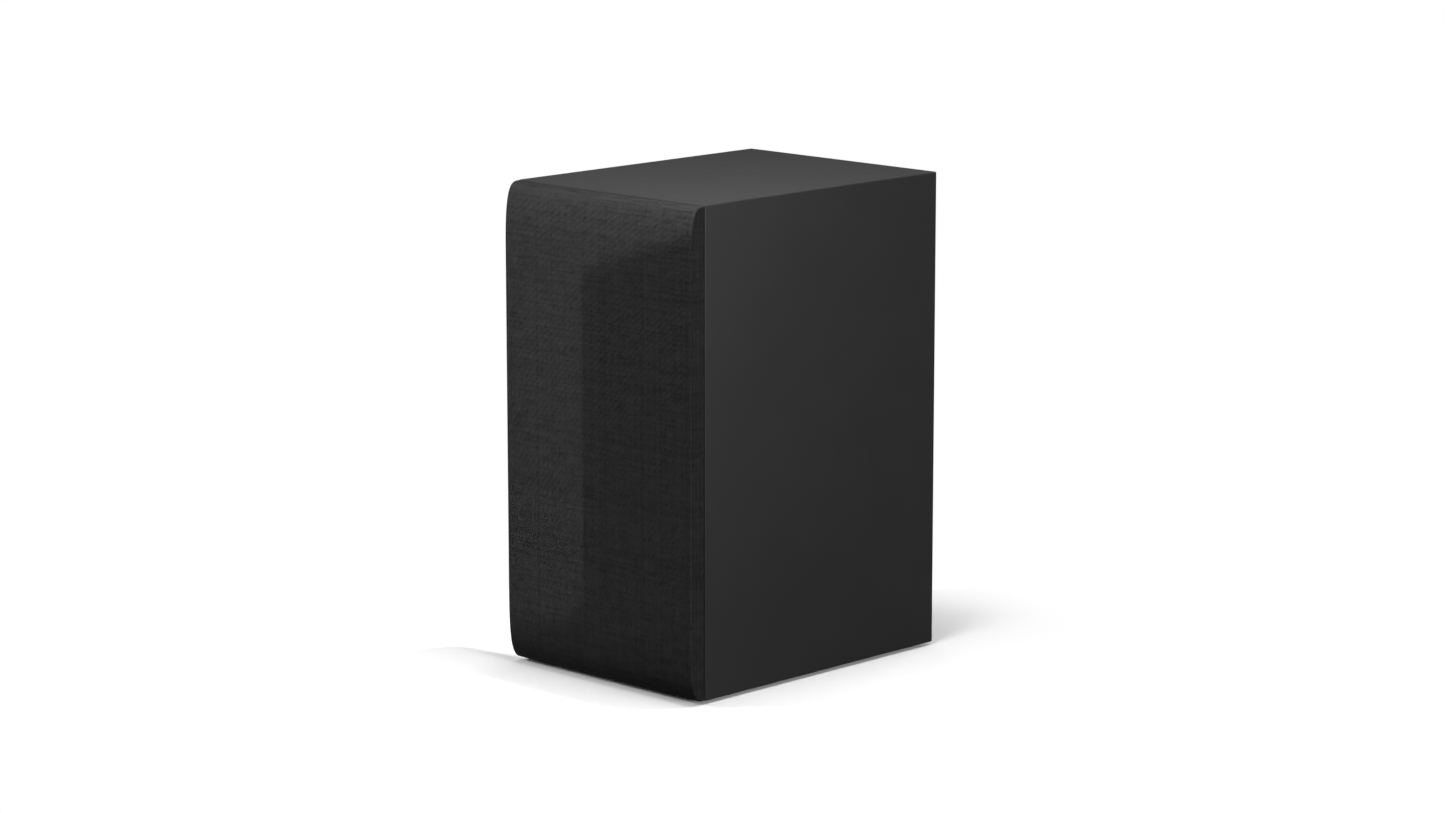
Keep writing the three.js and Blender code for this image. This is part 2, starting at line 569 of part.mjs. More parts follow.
// The control and the lamp between the board and the plate.
function addControls() {
  const { x, z, radius, flange } = BUTTON;
  const seat = 107.5;
  const switchBase = box([x - 3, x + 3], [BOARD_FRONT, seat], [z - 3, z + 3]);
  add("tact_switch", switchBase.add(rod(1.75, [seat - 0.5, seat + 0.6], x, z, 12)), ABS);
  const stop = SEAL_BACK - GAP;
  const button = [
    [0, 108.9], [2.5, 108.9], [2.5, stop - 1.5], [flange, stop - 1.5], [flange, stop],
    [radius, stop], [radius, REAR - 0.9], [radius - 0.5, REAR - 0.4], [0, REAR - 0.4],
  ];
  add("pairing_button", turned(button, x, z, 16), ABS);
  const lamp = [
    [0, BOARD_FRONT], [2, BOARD_FRONT], [2, 108], [LED.radius, 108], [LED.radius, PLATE_FACE],
    [1.1, PLATE_FACE + 0.5], [0, PLATE_FACE + 0.6],
  ];
  add("status_led", turned(lamp, LED.x, LED.z, 12), LENS);
}

// A two-pin mains inlet with a long round-ended socket.
function addInlet() {
  const { x, z, width, height, depth } = INLET;
  const FLANGE = 1.2;
  const PIN_SPACING = 8.6;
  const PIN_RADIUS = 1.2;
  const SOCKET_RADIUS = 4.1;
  const SOCKET_HALF = 8;
  const SOCKET_DEPTH = 13;
  const face = PLATE_FACE + FLANGE;
  const flange = alongY(roundedRectangle([x - 13, x + 13], [z - 8.5, z + 8.5], 2), [PLATE_FACE, face]);
  const bodyOutline = roundedRectangle([x - width / 2, x + width / 2],
    [z - height / 2, z + height / 2], 0.7, 2);
  const body = alongY(bodyOutline, [PLATE_FACE - depth, PLATE_FACE + 0.1]);
  const socket = [
    ...arc([x + SOCKET_HALF - SOCKET_RADIUS, z], SOCKET_RADIUS, -90, 90, 8),
    ...arc([x - SOCKET_HALF + SOCKET_RADIUS, z], SOCKET_RADIUS, 90, 270, 8),
  ];
  const pinXs = [x - PIN_SPACING / 2, x + PIN_SPACING / 2];
  const back = PLATE_FACE - depth;
  const cuts = [
    alongY(socket, [face - SOCKET_DEPTH, face + 1]),
    ...pinXs.map((px) => rod(PIN_RADIUS, [back - 1, face - SOCKET_DEPTH + 1], px, z, 12)),
  ];
  add("inlet_body", without(joined([flange, body]), cuts), ABS);
  pinXs.forEach((px, i) => {
    add("inlet_pin_" + (i + 1), rod(PIN_RADIUS, [back - 3.5, face - 2.5], px, z, 12), NICKEL);
  });
}

// The two wires from the board to the driver, over the magnet and under the port.
function addSpeakerLeads() {
  const names = ["speaker_lead_positive", "speaker_lead_negative"];
  names.forEach((name, i) => {
    const side = i ? -1 : 1;
    const boardX = 14 + side * 1.6;
    const strip = BAFFLE_FACE + LEDGE + 2 + GAP;
    const route = [
      [boardX, BOARD_INSIDE - GAP, 64], [boardX, 90, 64], [boardX, 62, 82], [12 + side * 2, 20, 168],
      [8 + side * 3, -18, 219], [side * 4, -38, 220], [side * 5, strip + 8, MIDDLE + 48],
      [side * 5, strip, MIDDLE + 48],
    ];
    add(name, lead(route, 0.9, 26), side > 0 ? COPPER : ABS);
  });
}

addWalls();
addBaffle();
addRearPanel();
addFeet();
addWadding();
addBasket();
addSurround();
addSpider();
addMotor();
addMovingParts();
addDriverScrews();
addGrille();
addPort();
addPlate();
addBoard();
addBoardParts();
addControls();
addInlet();
addSpeakerLeads();

export default subwoofer;
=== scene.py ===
"""Looks of a soundbar's wireless subwoofer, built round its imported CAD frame.

Metres, +Z up, the grille faces -Y. Each new piece takes its place from the boxes of the CAD
nodes that it stands for, and every other CAD node keeps its shape and gets a finer material.
"""

import json
import math

import bmesh
import bpy
import numpy as np
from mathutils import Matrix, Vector, noise


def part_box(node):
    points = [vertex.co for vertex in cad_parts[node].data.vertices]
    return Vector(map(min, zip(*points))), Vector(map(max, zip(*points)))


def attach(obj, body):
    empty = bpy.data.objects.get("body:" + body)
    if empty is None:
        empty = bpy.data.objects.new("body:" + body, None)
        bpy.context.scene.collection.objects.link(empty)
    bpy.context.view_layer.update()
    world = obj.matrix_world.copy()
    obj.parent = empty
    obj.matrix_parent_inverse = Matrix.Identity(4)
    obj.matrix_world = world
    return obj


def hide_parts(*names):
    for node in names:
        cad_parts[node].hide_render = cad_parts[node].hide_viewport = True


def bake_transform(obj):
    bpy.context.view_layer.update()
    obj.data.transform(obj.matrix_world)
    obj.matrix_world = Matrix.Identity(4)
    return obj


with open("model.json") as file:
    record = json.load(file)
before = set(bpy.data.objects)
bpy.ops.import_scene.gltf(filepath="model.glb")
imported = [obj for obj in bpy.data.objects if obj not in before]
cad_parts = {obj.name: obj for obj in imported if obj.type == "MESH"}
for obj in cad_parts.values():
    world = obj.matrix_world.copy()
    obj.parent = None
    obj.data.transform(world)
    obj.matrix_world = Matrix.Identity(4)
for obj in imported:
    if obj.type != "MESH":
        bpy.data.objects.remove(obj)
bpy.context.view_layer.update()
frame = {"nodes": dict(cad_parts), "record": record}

MM = 0.001
SCENE = bpy.context.scene
SLOTS = {part["node"]: part["material_slot"] for part in frame["record"]["subparts"]}


# ---------------------------------------------------------------- places read from the frame
def box_of(*nodes):
    """The lowest and the highest corner of some CAD nodes together, as arrays."""
    corners = [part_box(node) for node in nodes]
    return np.min([low for low, _ in corners], axis=0), np.max([high for _, high in corners], axis=0)


def middle_of(node):
    low, high = box_of(node)
    return (low + high) / 2


BOX_PANELS = ("side_panel_left", "side_panel_right", "top_panel", "bottom_panel")
BOX_LOW, BOX_HIGH = box_of(*BOX_PANELS)
PANEL = box_of("bottom_panel")[1][2] - BOX_LOW[2]
SEAM = BOX_LOW[1]
CLOTH_LOW, CLOTH_HIGH = box_of("grille_fabric")
BAFFLE_LOW, BAFFLE_HIGH = box_of("front_baffle")
BAFFLE_FACE = BAFFLE_LOW[1]
DRIVER = (0.0, middle_of("cone")[2])
PORT = (0.0, middle_of("port_tube")[2])


# ---------------------------------------------------------------- camera, light and floor
def make_camera():
    """Stands at the front right, a little above the box, and looks down at its middle."""
    AZIMUTH, PITCH, DISTANCE, LENS = 44.3, 10.95, 2.779, 104.75
    azimuth, pitch = math.radians(AZIMUTH), math.radians(PITCH)
    target = Vector((-0.0008, 0.0011, 0.1675))
    forward = Vector((-math.sin(azimuth) * math.cos(pitch), math.cos(azimuth) * math.cos(pitch),
                      -math.sin(pitch)))
    camera = bpy.data.objects.new("camera", bpy.data.cameras.new("camera"))
    camera.data.lens = LENS
    camera.location = target - forward * DISTANCE
    camera.rotation_mode = "QUATERNION"
    camera.rotation_quaternion = forward.to_track_quat("-Z", "Y")
    SCENE.collection.objects.link(camera)
    SCENE.camera = camera


def set_range(node, start, end, low=0.0, high=1.0):
    """Sets what a Map Range node reads, and what it gives."""
    for socket, value in (("From Min", start), ("From Max", end), ("To Min", low), ("To Max", high)):
        node.inputs[socket].default_value = value


def make_world():
    """A white backdrop for the camera, and for the light a pale ceiling over a dim horizon."""
    HORIZON, CEILING = 0.07, 0.2
    HORIZON_END, CEILING_START = 0.25, 0.95     # by the height of a direction, from 0 to 1
    world = bpy.data.worlds.new("studio")
    SCENE.world = world
    world.use_nodes = True
    tree = world.node_tree
    tree.nodes.clear()
    new = lambda kind: tree.nodes.new("ShaderNode" + kind)
    place, split, level = new("TexCoord"), new("SeparateXYZ"), new("MapRange")
    level.interpolation_type = "SMOOTHSTEP"
    set_range(level, HORIZON_END, CEILING_START, HORIZON, CEILING)
    light, backdrop, path, mix, out = (new("Background"), new("Background"), new("LightPath"),
                                       new("MixShader"), new("OutputWorld"))
    link = tree.links.new
    link(place.outputs["Generated"], split.inputs[0])
    link(split.outputs["Z"], level.inputs["Value"])
    link(level.outputs["Result"], light.inputs["Strength"])
    link(path.outputs["Is Camera Ray"], mix.inputs[0])
    link(light.outputs[0], mix.inputs[1])
    link(backdrop.outputs[0], mix.inputs[2])
    link(mix.outputs[0], out.inputs["Surface"])
    backdrop.inputs["Color"].default_value = (1, 1, 1, 1)
    light.inputs["Color"].default_value = (1, 1, 1, 1)


def softbox(name, size, place, target, watts):
    """A rectangular lamp that faces its target."""
    lamp = bpy.data.lights.new(name, "AREA")
    lamp.shape = "RECTANGLE"
    lamp.size, lamp.size_y = size
    lamp.energy = watts
    obj = bpy.data.objects.new(name, lamp)
    obj.location = place
    obj.rotation_mode = "QUATERNION"
    obj.rotation_quaternion = (Vector(target) - Vector(place)).to_track_quat("-Z", "Y")
    SCENE.collection.objects.link(obj)


def make_flagged_lamp():
    """A small lamp at the left, masked by a flag so that it rakes only the grille's left part, its
    top and its bottom: that is where the weave shows."""
    LAMP, LAMP_SIZE, WATTS = Vector((-0.8, -1.2, 1.5)), (0.004, 0.01), 32
    FLAG_AT = 0.55                              # the flag's place on the way from lamp to grille
    softbox("raking_lamp", LAMP_SIZE, LAMP, (-0.04, SEAM, 0.16), WATTS)
    half, face = CLOTH_HIGH[0], CLOTH_LOW[1]
    low, high = CLOTH_LOW[2], CLOTH_HIGH[2]
    EDGE, PAST_SIDE, PAST_FLOOR = -13 * MM, 4 * MM, 60 * MM
    # the outline of the shade on the grille's face: x, z and the corner's radius
    shade = filleted([(EDGE, high - 50 * MM, 14 * MM), (half + PAST_SIDE, high - 14 * MM, 0),
                      (half + PAST_SIDE, low - PAST_FLOOR, 0), (-half - PAST_FLOOR, low - PAST_FLOOR, 0),
                      (-half - PAST_FLOOR, low + 8 * MM, 0), (EDGE - 18 * MM, low + 34 * MM, 12 * MM),
                      (EDGE, low + 52 * MM, 10 * MM)], steps=6)
    points = [LAMP.lerp(Vector((x, face, z)), FLAG_AT) for x, z in shade]
    flag = bare_object("flag", points, [tuple(range(len(points)))])
    flag.visible_camera = flag.visible_diffuse = flag.visible_glossy = False


def make_floor():
    """A white sweep. The camera sees lit paper close to the object, which passes into plain white
    further out. The object's surfaces get a darker floor with painted shade, darkest beside the
    right side, and painted light near the object that dims again far out."""
    RADIUS = 14
    PAPER = 1.1                                 # the tone of the paper that the camera sees
    SWEEP_START, SWEEP_END = 0.15, 0.28         # where the paper passes into plain white
    # painted shade: what the object mirrors and is lit by is darkest about this point beside its right side,
    # standing in for shade on the floor there
    PAINTED_SHADE_CENTRE, PAINTED_SHADE_REACH, BRIGHT_REACH = (0.2, 0.05, 0), 0.1, 0.3
    PAINTED_SHADE_TONE, BRIGHT_TONE = 0.02, 0.26         # the floor's tone at those two reaches
    # painted light: the tone that the object sees keeps its full strength near the object and dims to
    # FAR_SHARE of it far out
    PAINTED_LIGHT_START, PAINTED_LIGHT_END, FAR_SHARE = 0.17, 0.36, 0.42
    mesh = bpy.data.meshes.new("floor")
    maker = bmesh.new()
    bmesh.ops.create_circle(maker, cap_ends=True, segments=96, radius=RADIUS)
    maker.to_mesh(mesh)
    maker.free()
    floor = bpy.data.objects.new("floor", mesh)
    SCENE.collection.objects.link(floor)
    paint = bpy.data.materials.new("floor_paper")
    paint.use_nodes = True
    tree = paint.node_tree
    tree.nodes.clear()
    new = lambda kind: tree.nodes.new("ShaderNode" + kind)
    seen, mirrored, path, mix, out = (new("BsdfDiffuse"), new("BsdfDiffuse"), new("LightPath"),
                                      new("MixShader"), new("OutputMaterial"))
    place, distance, level = new("TexCoord"), new("VectorMath"), new("MapRange")
    distance.operation = "LENGTH"
    set_range(level, PAINTED_SHADE_REACH, BRIGHT_REACH, PAINTED_SHADE_TONE, BRIGHT_TONE)
    fade, faded = new("MapRange"), new("Math")
    set_range(fade, PAINTED_LIGHT_START, PAINTED_LIGHT_END, 1.0, FAR_SHARE)
    faded.operation = "MULTIPLY"
    # distance from the painted shade's centre beside the right side
    from_painted_shade = new("VectorMath")
    from_painted_shade.operation = "DISTANCE"
    from_painted_shade.inputs[1].default_value = PAINTED_SHADE_CENTRE
    tree.links.new(place.outputs["Object"], from_painted_shade.inputs[0])
    tree.links.new(place.outputs["Object"], distance.inputs[0])
    tree.links.new(from_painted_shade.outputs["Value"], level.inputs["Value"])
    tree.links.new(distance.outputs["Value"], fade.inputs["Value"])
    tree.links.new(level.outputs["Result"], faded.inputs[0])
    tree.links.new(fade.outputs["Result"], faded.inputs[1])
    tree.links.new(faded.outputs[0], mirrored.inputs["Color"])
    seen.inputs["Color"].default_value = (PAPER, PAPER, PAPER, 1)
    white, sweep, backdrop = new("Emission"), new("MapRange"), new("MixShader")
    sweep.interpolation_type = "SMOOTHSTEP"
    set_range(sweep, SWEEP_START, SWEEP_END)
    tree.links.new(distance.outputs["Value"], sweep.inputs["Value"])
    tree.links.new(sweep.outputs["Result"], backdrop.inputs[0])
    tree.links.new(seen.outputs[0], backdrop.inputs[1])
    tree.links.new(white.outputs[0], backdrop.inputs[2])
    tree.links.new(path.outputs["Is Camera Ray"], mix.inputs[0])
    tree.links.new(mirrored.outputs[0], mix.inputs[1])
    tree.links.new(backdrop.outputs[0], mix.inputs[2])
    tree.links.new(mix.outputs[0], out.inputs["Surface"])
    mesh.materials.append(paint)


# ---------------------------------------------------------------- procedural materials
class Surface:
    """A material whose nodes are added by short calls and feed one Principled shader."""

    def __init__(self, name, colour, roughness, **constants):
        self.material = bpy.data.materials.new(name)
        self.material.use_nodes = True
        self.tree = self.material.node_tree
        self.shader = self.tree.nodes["Principled BSDF"]
        self.shader.inputs["Base Color"].default_value = (*colour, 1)
        self.shader.inputs["Roughness"].default_value = roughness
        sockets = {socket.name.lower().replace(" ", "_"): socket for socket in self.shader.inputs}
        for socket, value in constants.items():
            sockets[socket].default_value = value

    def node(self, kind, inputs=None, **settings):
        made = self.tree.nodes.new("ShaderNode" + kind)
        for setting, value in settings.items():
            setattr(made, setting, value)
        for socket, value in (inputs or {}).items():
            if isinstance(value, bpy.types.NodeSocket):
                self.tree.links.new(value, made.inputs[socket])
            else:
                made.inputs[socket].default_value = value
        return made

    def maths(self, operation, *values):
        return self.node("Math", dict(enumerate(values)), operation=operation).outputs[0]

    def place(self, output="Object", stretch=(1, 1, 1)):
        where = self.node("TexCoord").outputs[output]
        return self.node("Mapping", {"Vector": where, "Scale": stretch}).outputs[0]

    def noise(self, where, size, detail=3.0):
        """Cloudy values about 0.5, with lumps of that size in metres."""
        return self.node("TexNoise", {"Vector": where, "Scale": 1 / size, "Detail": detail}).outputs[0]

    def spread(self, value, low, high):
        return self.node("MapRange", {"Value": value, "From Min": 0.25, "From Max": 0.75,
                                      "To Min": low, "To Max": high}).outputs[0]

    def ramp(self, value, dark, light):
        made = self.node("ValToRGB", {"Fac": value})
        made.color_ramp.elements[0].color = (*dark, 1)
        made.color_ramp.elements[1].color = (*light, 1)
        return made.outputs[0]

    def feed(self, socket, value):
        self.tree.links.new(value, self.shader.inputs[socket])

    def bump(self, height, depth, strength=1.0):
        made = self.node("Bump", {"Height": height, "Distance": depth, "Strength": strength})
        self.feed("Normal", made.outputs[0])


def tinted(colour, factor):
    return tuple(min(1.0, channel * factor) for channel in colour)


def mottled(name, colour, roughness, grain=0.4 * MM, relief=0.02 * MM, mottle=0.12, patch=12 * MM,
            gloss_change=0.05, stretch=(1, 1, 1), **constants):
    """The common recipe: faint patches of tone and gloss, and a fine relief over them."""
    made = Surface(name, colour, roughness, **constants)
    where = made.place(stretch=stretch)
    patches = made.noise(where, patch, 4.0)
    made.feed("Base Color", made.ramp(made.spread(patches, 0.0, 1.0), tinted(colour, 1 - mottle),
                                      tinted(colour, 1 + mottle)))
    made.feed("Roughness", made.spread(made.noise(where, patch * 0.6), roughness - gloss_change,
                                       roughness + gloss_change))
    made.bump(made.noise(where, grain, 2.0), relief)
    return made.material


def vinyl_wrap():
    """Fine-grained satin laminate: tiny pebbles with shallow creases between them."""
    colour = (0.019, 0.019, 0.0193)
    made = Surface("vinyl_wrap", colour, 0.46, specular_ior_level=0.2)
    where = made.place()
    pebble = made.node("TexVoronoi", {"Vector": where, "Scale": 1 / (0.45 * MM)},
                       feature="DISTANCE_TO_EDGE").outputs["Distance"]
    crease = made.maths("MINIMUM", made.maths("MULTIPLY", pebble, 3.0), 1.0)
    grain = made.noise(where, 0.3 * MM, 2.0)
    patches = made.noise(where, 35 * MM, 3.0)
    made.feed("Base Color", made.ramp(made.spread(patches, 0.0, 1.0), tinted(colour, 0.95),
                                      tinted(colour, 1.05)))
    made.feed("Roughness", made.spread(made.noise(where, 9 * MM), 0.45, 0.48))
    made.bump(made.maths("ADD", crease, grain), 0.012 * MM, 0.6)
    return made.material


def woven(name, colour, pitch, relief, spread, gloss=(0.78, 0.92), shine=(0.3, 0.5), uv=True):
    """Plain weave: threads a pitch apart, over and under in turn, each with its own tone, and
    with slubs that run along the threads. The shader's own roughness and specular level are the
    middles of what the weave makes of them."""
    CROWN_SHARE, TONE_SHARE, FUZZ_SHARE, SLUB_SHARE = 0.5, 0.5, 0.3, 1.0
    SLUB = 0.12                                 # a slub's width over its length
    made = Surface(name, colour, sum(gloss) / 2, specular_ior_level=sum(shine) / 2)
    split = made.node("SeparateXYZ", {0: made.place("UV" if uv else "Object")})
    across, along = split.outputs[0], split.outputs[1 if uv else 2]
    wave = lambda value: made.maths("SINE", made.maths("MULTIPLY", value, math.pi / pitch))
    cross = made.maths("MULTIPLY", wave(across), wave(along))
    crown = made.maths("POWER", made.maths("ABSOLUTE", cross), 0.6)
    thread = lambda value, offset: made.node("TexWhiteNoise", {
        "W": made.maths("ADD", made.maths("FLOOR", made.maths("DIVIDE", value, pitch)), offset),
    }, noise_dimensions="1D").outputs["Value"]
    warp_on_top = made.maths("GREATER_THAN", cross, 0.0)
    weft_on_top = made.maths("SUBTRACT", 1.0, warp_on_top)
    tone = made.maths("ADD", made.maths("MULTIPLY", warp_on_top, thread(across, 0.37)),
                      made.maths("MULTIPLY", weft_on_top, thread(along, 91.7)))
    source = "UV" if uv else "Object"
    fuzz = made.noise(made.place(source), pitch * 0.35, 2.0)
    slubs = made.maths("ADD", made.noise(made.place(source, (SLUB, 1, 1)), pitch * 2.2, 2.0),
                       made.noise(made.place(source, (1, SLUB, 1)), pitch * 1.4, 2.0))
    # painted shade: the crown share makes the threads' tops lighter and the hollows between them darker, on
    # top of each thread's own tone, the fuzz and the slubs
    mixed = made.maths("ADD", made.maths("MULTIPLY", crown, CROWN_SHARE),
                       made.maths("MULTIPLY", tone, TONE_SHARE))
    for change, mean, share in ((fuzz, 0.5, FUZZ_SHARE), (slubs, 1.0, SLUB_SHARE)):
        mixed = made.maths("ADD", mixed, made.maths("MULTIPLY", made.maths("SUBTRACT", change, mean), share))
    made.feed("Base Color", made.ramp(mixed, tinted(colour, 1 - spread), tinted(colour, 1 + spread)))
    made.feed("Specular IOR Level", made.spread(mixed, *shine))
    made.feed("Roughness", made.spread(mixed, *gloss))
    made.bump(made.maths("ADD", crown, made.maths("MULTIPLY", fuzz, 0.3)), relief)
    return made.material


def board_green():
    """Solder mask over copper tracks: a faint grid of blocks a shade lighter than the ground."""
    colour = (0.012, 0.075, 0.035)
    made = Surface("board_green", colour, 0.32, coat_weight=0.3)
    where = made.place()
    track = made.node("TexBrick", {"Vector": where, "Scale": 160.0, "Mortar Size": 0.035,
                                   "Color1": (1, 1, 1, 1), "Color2": (0.6, 0.6, 0.6, 1),
                                   "Mortar": (0, 0, 0, 1)}).outputs["Color"]
    made.feed("Base Color", made.ramp(track, tinted(colour, 0.8), tinted(colour, 1.7)))
    made.feed("Roughness", made.spread(made.noise(where, 3 * MM), 0.28, 0.4))
    made.bump(track, 0.03 * MM, 0.5)
    return made.material


def wound_copper():
    """Enamelled turns lying side by side, with painted shade between the turns."""
    colour = (0.62, 0.28, 0.13)
    made = Surface("copper", colour, 0.3, metallic=1.0, coat_weight=0.4)
    where = made.place()
    turns = made.node("TexWave", {"Vector": where, "Scale": 1 / (1.2 * MM), "Distortion": 0.6},
                      bands_direction="Y").outputs["Fac"]
    # painted shade: each turn is lighter along its middle and darker where it meets the next
    made.feed("Base Color", made.ramp(turns, tinted(colour, 0.45), tinted(colour, 1.1)))
    made.feed("Roughness", made.spread(made.noise(where, 2 * MM), 0.24, 0.4))
    made.bump(turns, 0.15 * MM)
    return made.material


def paper_cone():
    """Pressed pulp: short fibres in every direction."""
    colour = (0.022, 0.022, 0.023)
    made = Surface("cone_paper", colour, 0.75, specular_ior_level=0.35)
    where = made.place()
    fibres = made.noise(made.place(stretch=(1, 1, 5)), 2.2 * MM, 5.0)
    crossing = made.noise(made.place(stretch=(5, 1, 1)), 2.2 * MM, 5.0)
    pulp = made.maths("MAXIMUM", fibres, crossing)
    made.feed("Base Color", made.ramp(made.spread(pulp, 0.0, 1.0), tinted(colour, 0.7),
                                      tinted(colour, 1.6)))
    made.feed("Roughness", made.spread(made.noise(where, 4 * MM), 0.68, 0.84))
    made.bump(pulp, 0.12 * MM)
    return made.material


FINISHES = {
    "vinyl_wrap": vinyl_wrap,
    "grille_cloth": lambda: woven("grille_cloth", (0.0052, 0.0052, 0.0053), 0.75 * MM, 0.16 * MM, 0.95,
                                  (0.38, 0.52), (0.165, 0.325)),
    "mdf": lambda: mottled("mdf", (0.02, 0.019, 0.018), 0.72, 0.5 * MM, 0.05 * MM, 0.3, 6 * MM),
    "black_plastic": lambda: mottled("black_plastic", (0.014, 0.014, 0.015), 0.45, 0.25 * MM, 0.02 * MM),
    "amp_plate_paint": lambda: mottled("amp_plate_paint", (0.017, 0.017, 0.018), 0.5, 0.7 * MM,
                                       0.06 * MM, 0.15),
    "basket_paint": lambda: mottled("basket_paint", (0.02, 0.02, 0.021), 0.38, 0.9 * MM, 0.03 * MM),
    "screw_black": lambda: mottled("screw_black", (0.05, 0.05, 0.053), 0.34, 0.3 * MM, 0.01 * MM, 0.25,
                                   2 * MM, metallic=0.85),
    "screw_zinc": lambda: mottled("screw_zinc", (0.6, 0.6, 0.56), 0.3, 0.3 * MM, 0.01 * MM, 0.15,
                                  2 * MM, metallic=1.0),
    "rubber": lambda: mottled("rubber", (0.012, 0.012, 0.012), 0.62, 0.35 * MM, 0.02 * MM, 0.2),
    "cone_paper": paper_cone,
    "spider_cloth": lambda: woven("spider_cloth", (0.36, 0.24, 0.10), 0.7 * MM, 0.2 * MM, 0.35, uv=False),
    "zinc_steel": lambda: mottled("zinc_steel", (0.55, 0.55, 0.53), 0.32, 0.2 * MM, 0.01 * MM, 0.15,
                                  8 * MM, metallic=1.0),
    "ferrite": lambda: mottled("ferrite", (0.05, 0.05, 0.052), 0.6, 0.5 * MM, 0.05 * MM, 0.25, 5 * MM),
    "copper": wound_copper,
    "aluminium": lambda: mottled("aluminium", (0.62, 0.63, 0.64), 0.36, 0.4 * MM, 0.01 * MM, 0.08,
                                 6 * MM, stretch=(8, 8, 1), metallic=1.0),
    "board_green": board_green,
    "terminal_board": lambda: mottled("terminal_board", (0.20, 0.11, 0.05), 0.55, 0.6 * MM, 0.03 * MM, 0.2),
    "capacitor_sleeve": lambda: mottled("capacitor_sleeve", (0.02, 0.022, 0.03), 0.25, 1.5 * MM, 0.02 * MM),
    "nickel": lambda: mottled("nickel", (0.68, 0.66, 0.61), 0.22, 0.4 * MM, 0.005 * MM, 0.08, 3 * MM,
                              metallic=1.0),
    "fuse_glass": lambda: mottled("fuse_glass", (0.9, 0.93, 0.93), 0.08, 2 * MM, 0.005 * MM, 0.04,
                                  gloss_change=0.03, transmission_weight=0.9),
    "wadding": lambda: mottled("wadding", (0.66, 0.65, 0.61), 0.9, 0.8 * MM, 0.6 * MM, 0.15, 8 * MM),
    "lamp_lens": lambda: mottled("lamp_lens", (0.72, 0.76, 0.74), 0.2, 0.5 * MM, 0.01 * MM, 0.05,
                                 transmission_weight=0.3),
    "lead_red": lambda: mottled("lead_red", (0.35, 0.012, 0.010), 0.4, 1 * MM, 0.02 * MM),
    "lead_black": lambda: mottled("lead_black", (0.012, 0.012, 0.013), 0.4, 1 * MM, 0.02 * MM),
}
made_materials = {}


def material_of(slot):
    if slot not in made_materials:
        made_materials[slot] = FINISHES[slot]()
    return made_materials[slot]


# ---------------------------------------------------------------- shapes
def arc(centre, radius, start, end, steps):
    """Points on an arc in a plane, from one angle to another, in degrees."""
    turns = np.radians(np.linspace(start, end, steps + 1))
    return [(centre[0] + radius * math.cos(t), centre[1] + radius * math.sin(t)) for t in turns]


def filleted(corners, closed=True, steps=4):
    """An outline through (u, v, radius) corners, each rounded to its radius."""
    made = []
    for i, (u, v, radius) in enumerate(corners):
        here = np.array((u, v))
        is_end = not closed and i in (0, len(corners) - 1)
        if radius <= 0 or is_end:
            made.append((u, v))
            continue
        before = np.array(corners[i - 1][:2]) - here
        after = np.array(corners[(i + 1) % len(corners)][:2]) - here
        before, after = before / np.linalg.norm(before), after / np.linalg.norm(after)
        half = math.acos(np.clip(before @ after, -1, 1)) / 2
        centre = here + (before + after) / np.linalg.norm(before + after) * radius / math.sin(half)
        first, last = here + before * radius / math.tan(half), here + after * radius / math.tan(half)
        swing = math.pi - 2 * half
        for step in range(steps + 1):
            share = step / steps
            a, b = math.sin((1 - share) * swing), math.sin(share * swing)
            made.append(tuple(centre + ((first - centre) * a + (last - centre) * b) / math.sin(swing)))
    return made


def loft(rings, closed=False):
    """Points and faces of a skin through rings of equally many points."""
    count = len(rings[0])
    faces = []
    for i in range(len(rings) if closed else len(rings) - 1):
        a, b = i * count, (i + 1) % len(rings) * count
        faces += [(a + j, a + (j + 1) % count, b + (j + 1) % count, b + j) for j in range(count)]
    return [tuple(p) for ring in rings for p in ring], faces


def turned(outline, centre, segments=96):
    """An outline of (radius, y) turned about a line along Y through centre = (x, z).
    One that starts and ends on the line is a solid of revolution, any other closes on itself."""
    angles = np.linspace(0, 2 * math.pi, segments, endpoint=False)
    solid = outline[0][0] < 1e-9 and outline[-1][0] < 1e-9
    rings = [[(centre[0] + r * math.cos(t), y, centre[1] + r * math.sin(t)) for t in angles]
             for r, y in (outline[1:-1] if solid else outline)]
    points, faces = loft(rings, closed=not solid)
    if solid:
        last = len(points) - segments
        points += [(centre[0], outline[0][1], centre[1]), (centre[0], outline[-1][1], centre[1])]
        tip = len(points) - 2
        faces += [(tip, (j + 1) % segments, j) for j in range(segments)]
        faces += [(tip + 1, last + j, last + (j + 1) % segments) for j in range(segments)]
    return points, faces


def bare_object(name, points, faces):
    mesh = bpy.data.meshes.new(name)
    mesh.from_pydata(points, [], faces)
    maker = bmesh.new()
    maker.from_mesh(mesh)
    bmesh.ops.recalc_face_normals(maker, faces=maker.faces)
    maker.to_mesh(mesh)
    maker.free()
    obj = bpy.data.objects.new(name, mesh)
    SCENE.collection.objects.link(obj)
    return obj


def bake_modifiers(obj):
    """Applies an object's modifiers to its own mesh."""
    bpy.context.view_layer.update()
    shown = obj.evaluated_get(bpy.context.evaluated_depsgraph_get())
    mesh = bpy.data.meshes.new_from_object(shown)
    obj.modifiers.clear()
    obj.data = mesh


def combine(obj, points, faces, operation):
    """Cuts a second solid from a piece, or joins it on."""
    tool = bare_object("tool", points, faces)
    modifier = obj.modifiers.new("combine", "BOOLEAN")
    modifier.operation, modifier.object, modifier.solver = operation, tool, "EXACT"
    bake_modifiers(obj)
    bpy.data.objects.remove(tool)


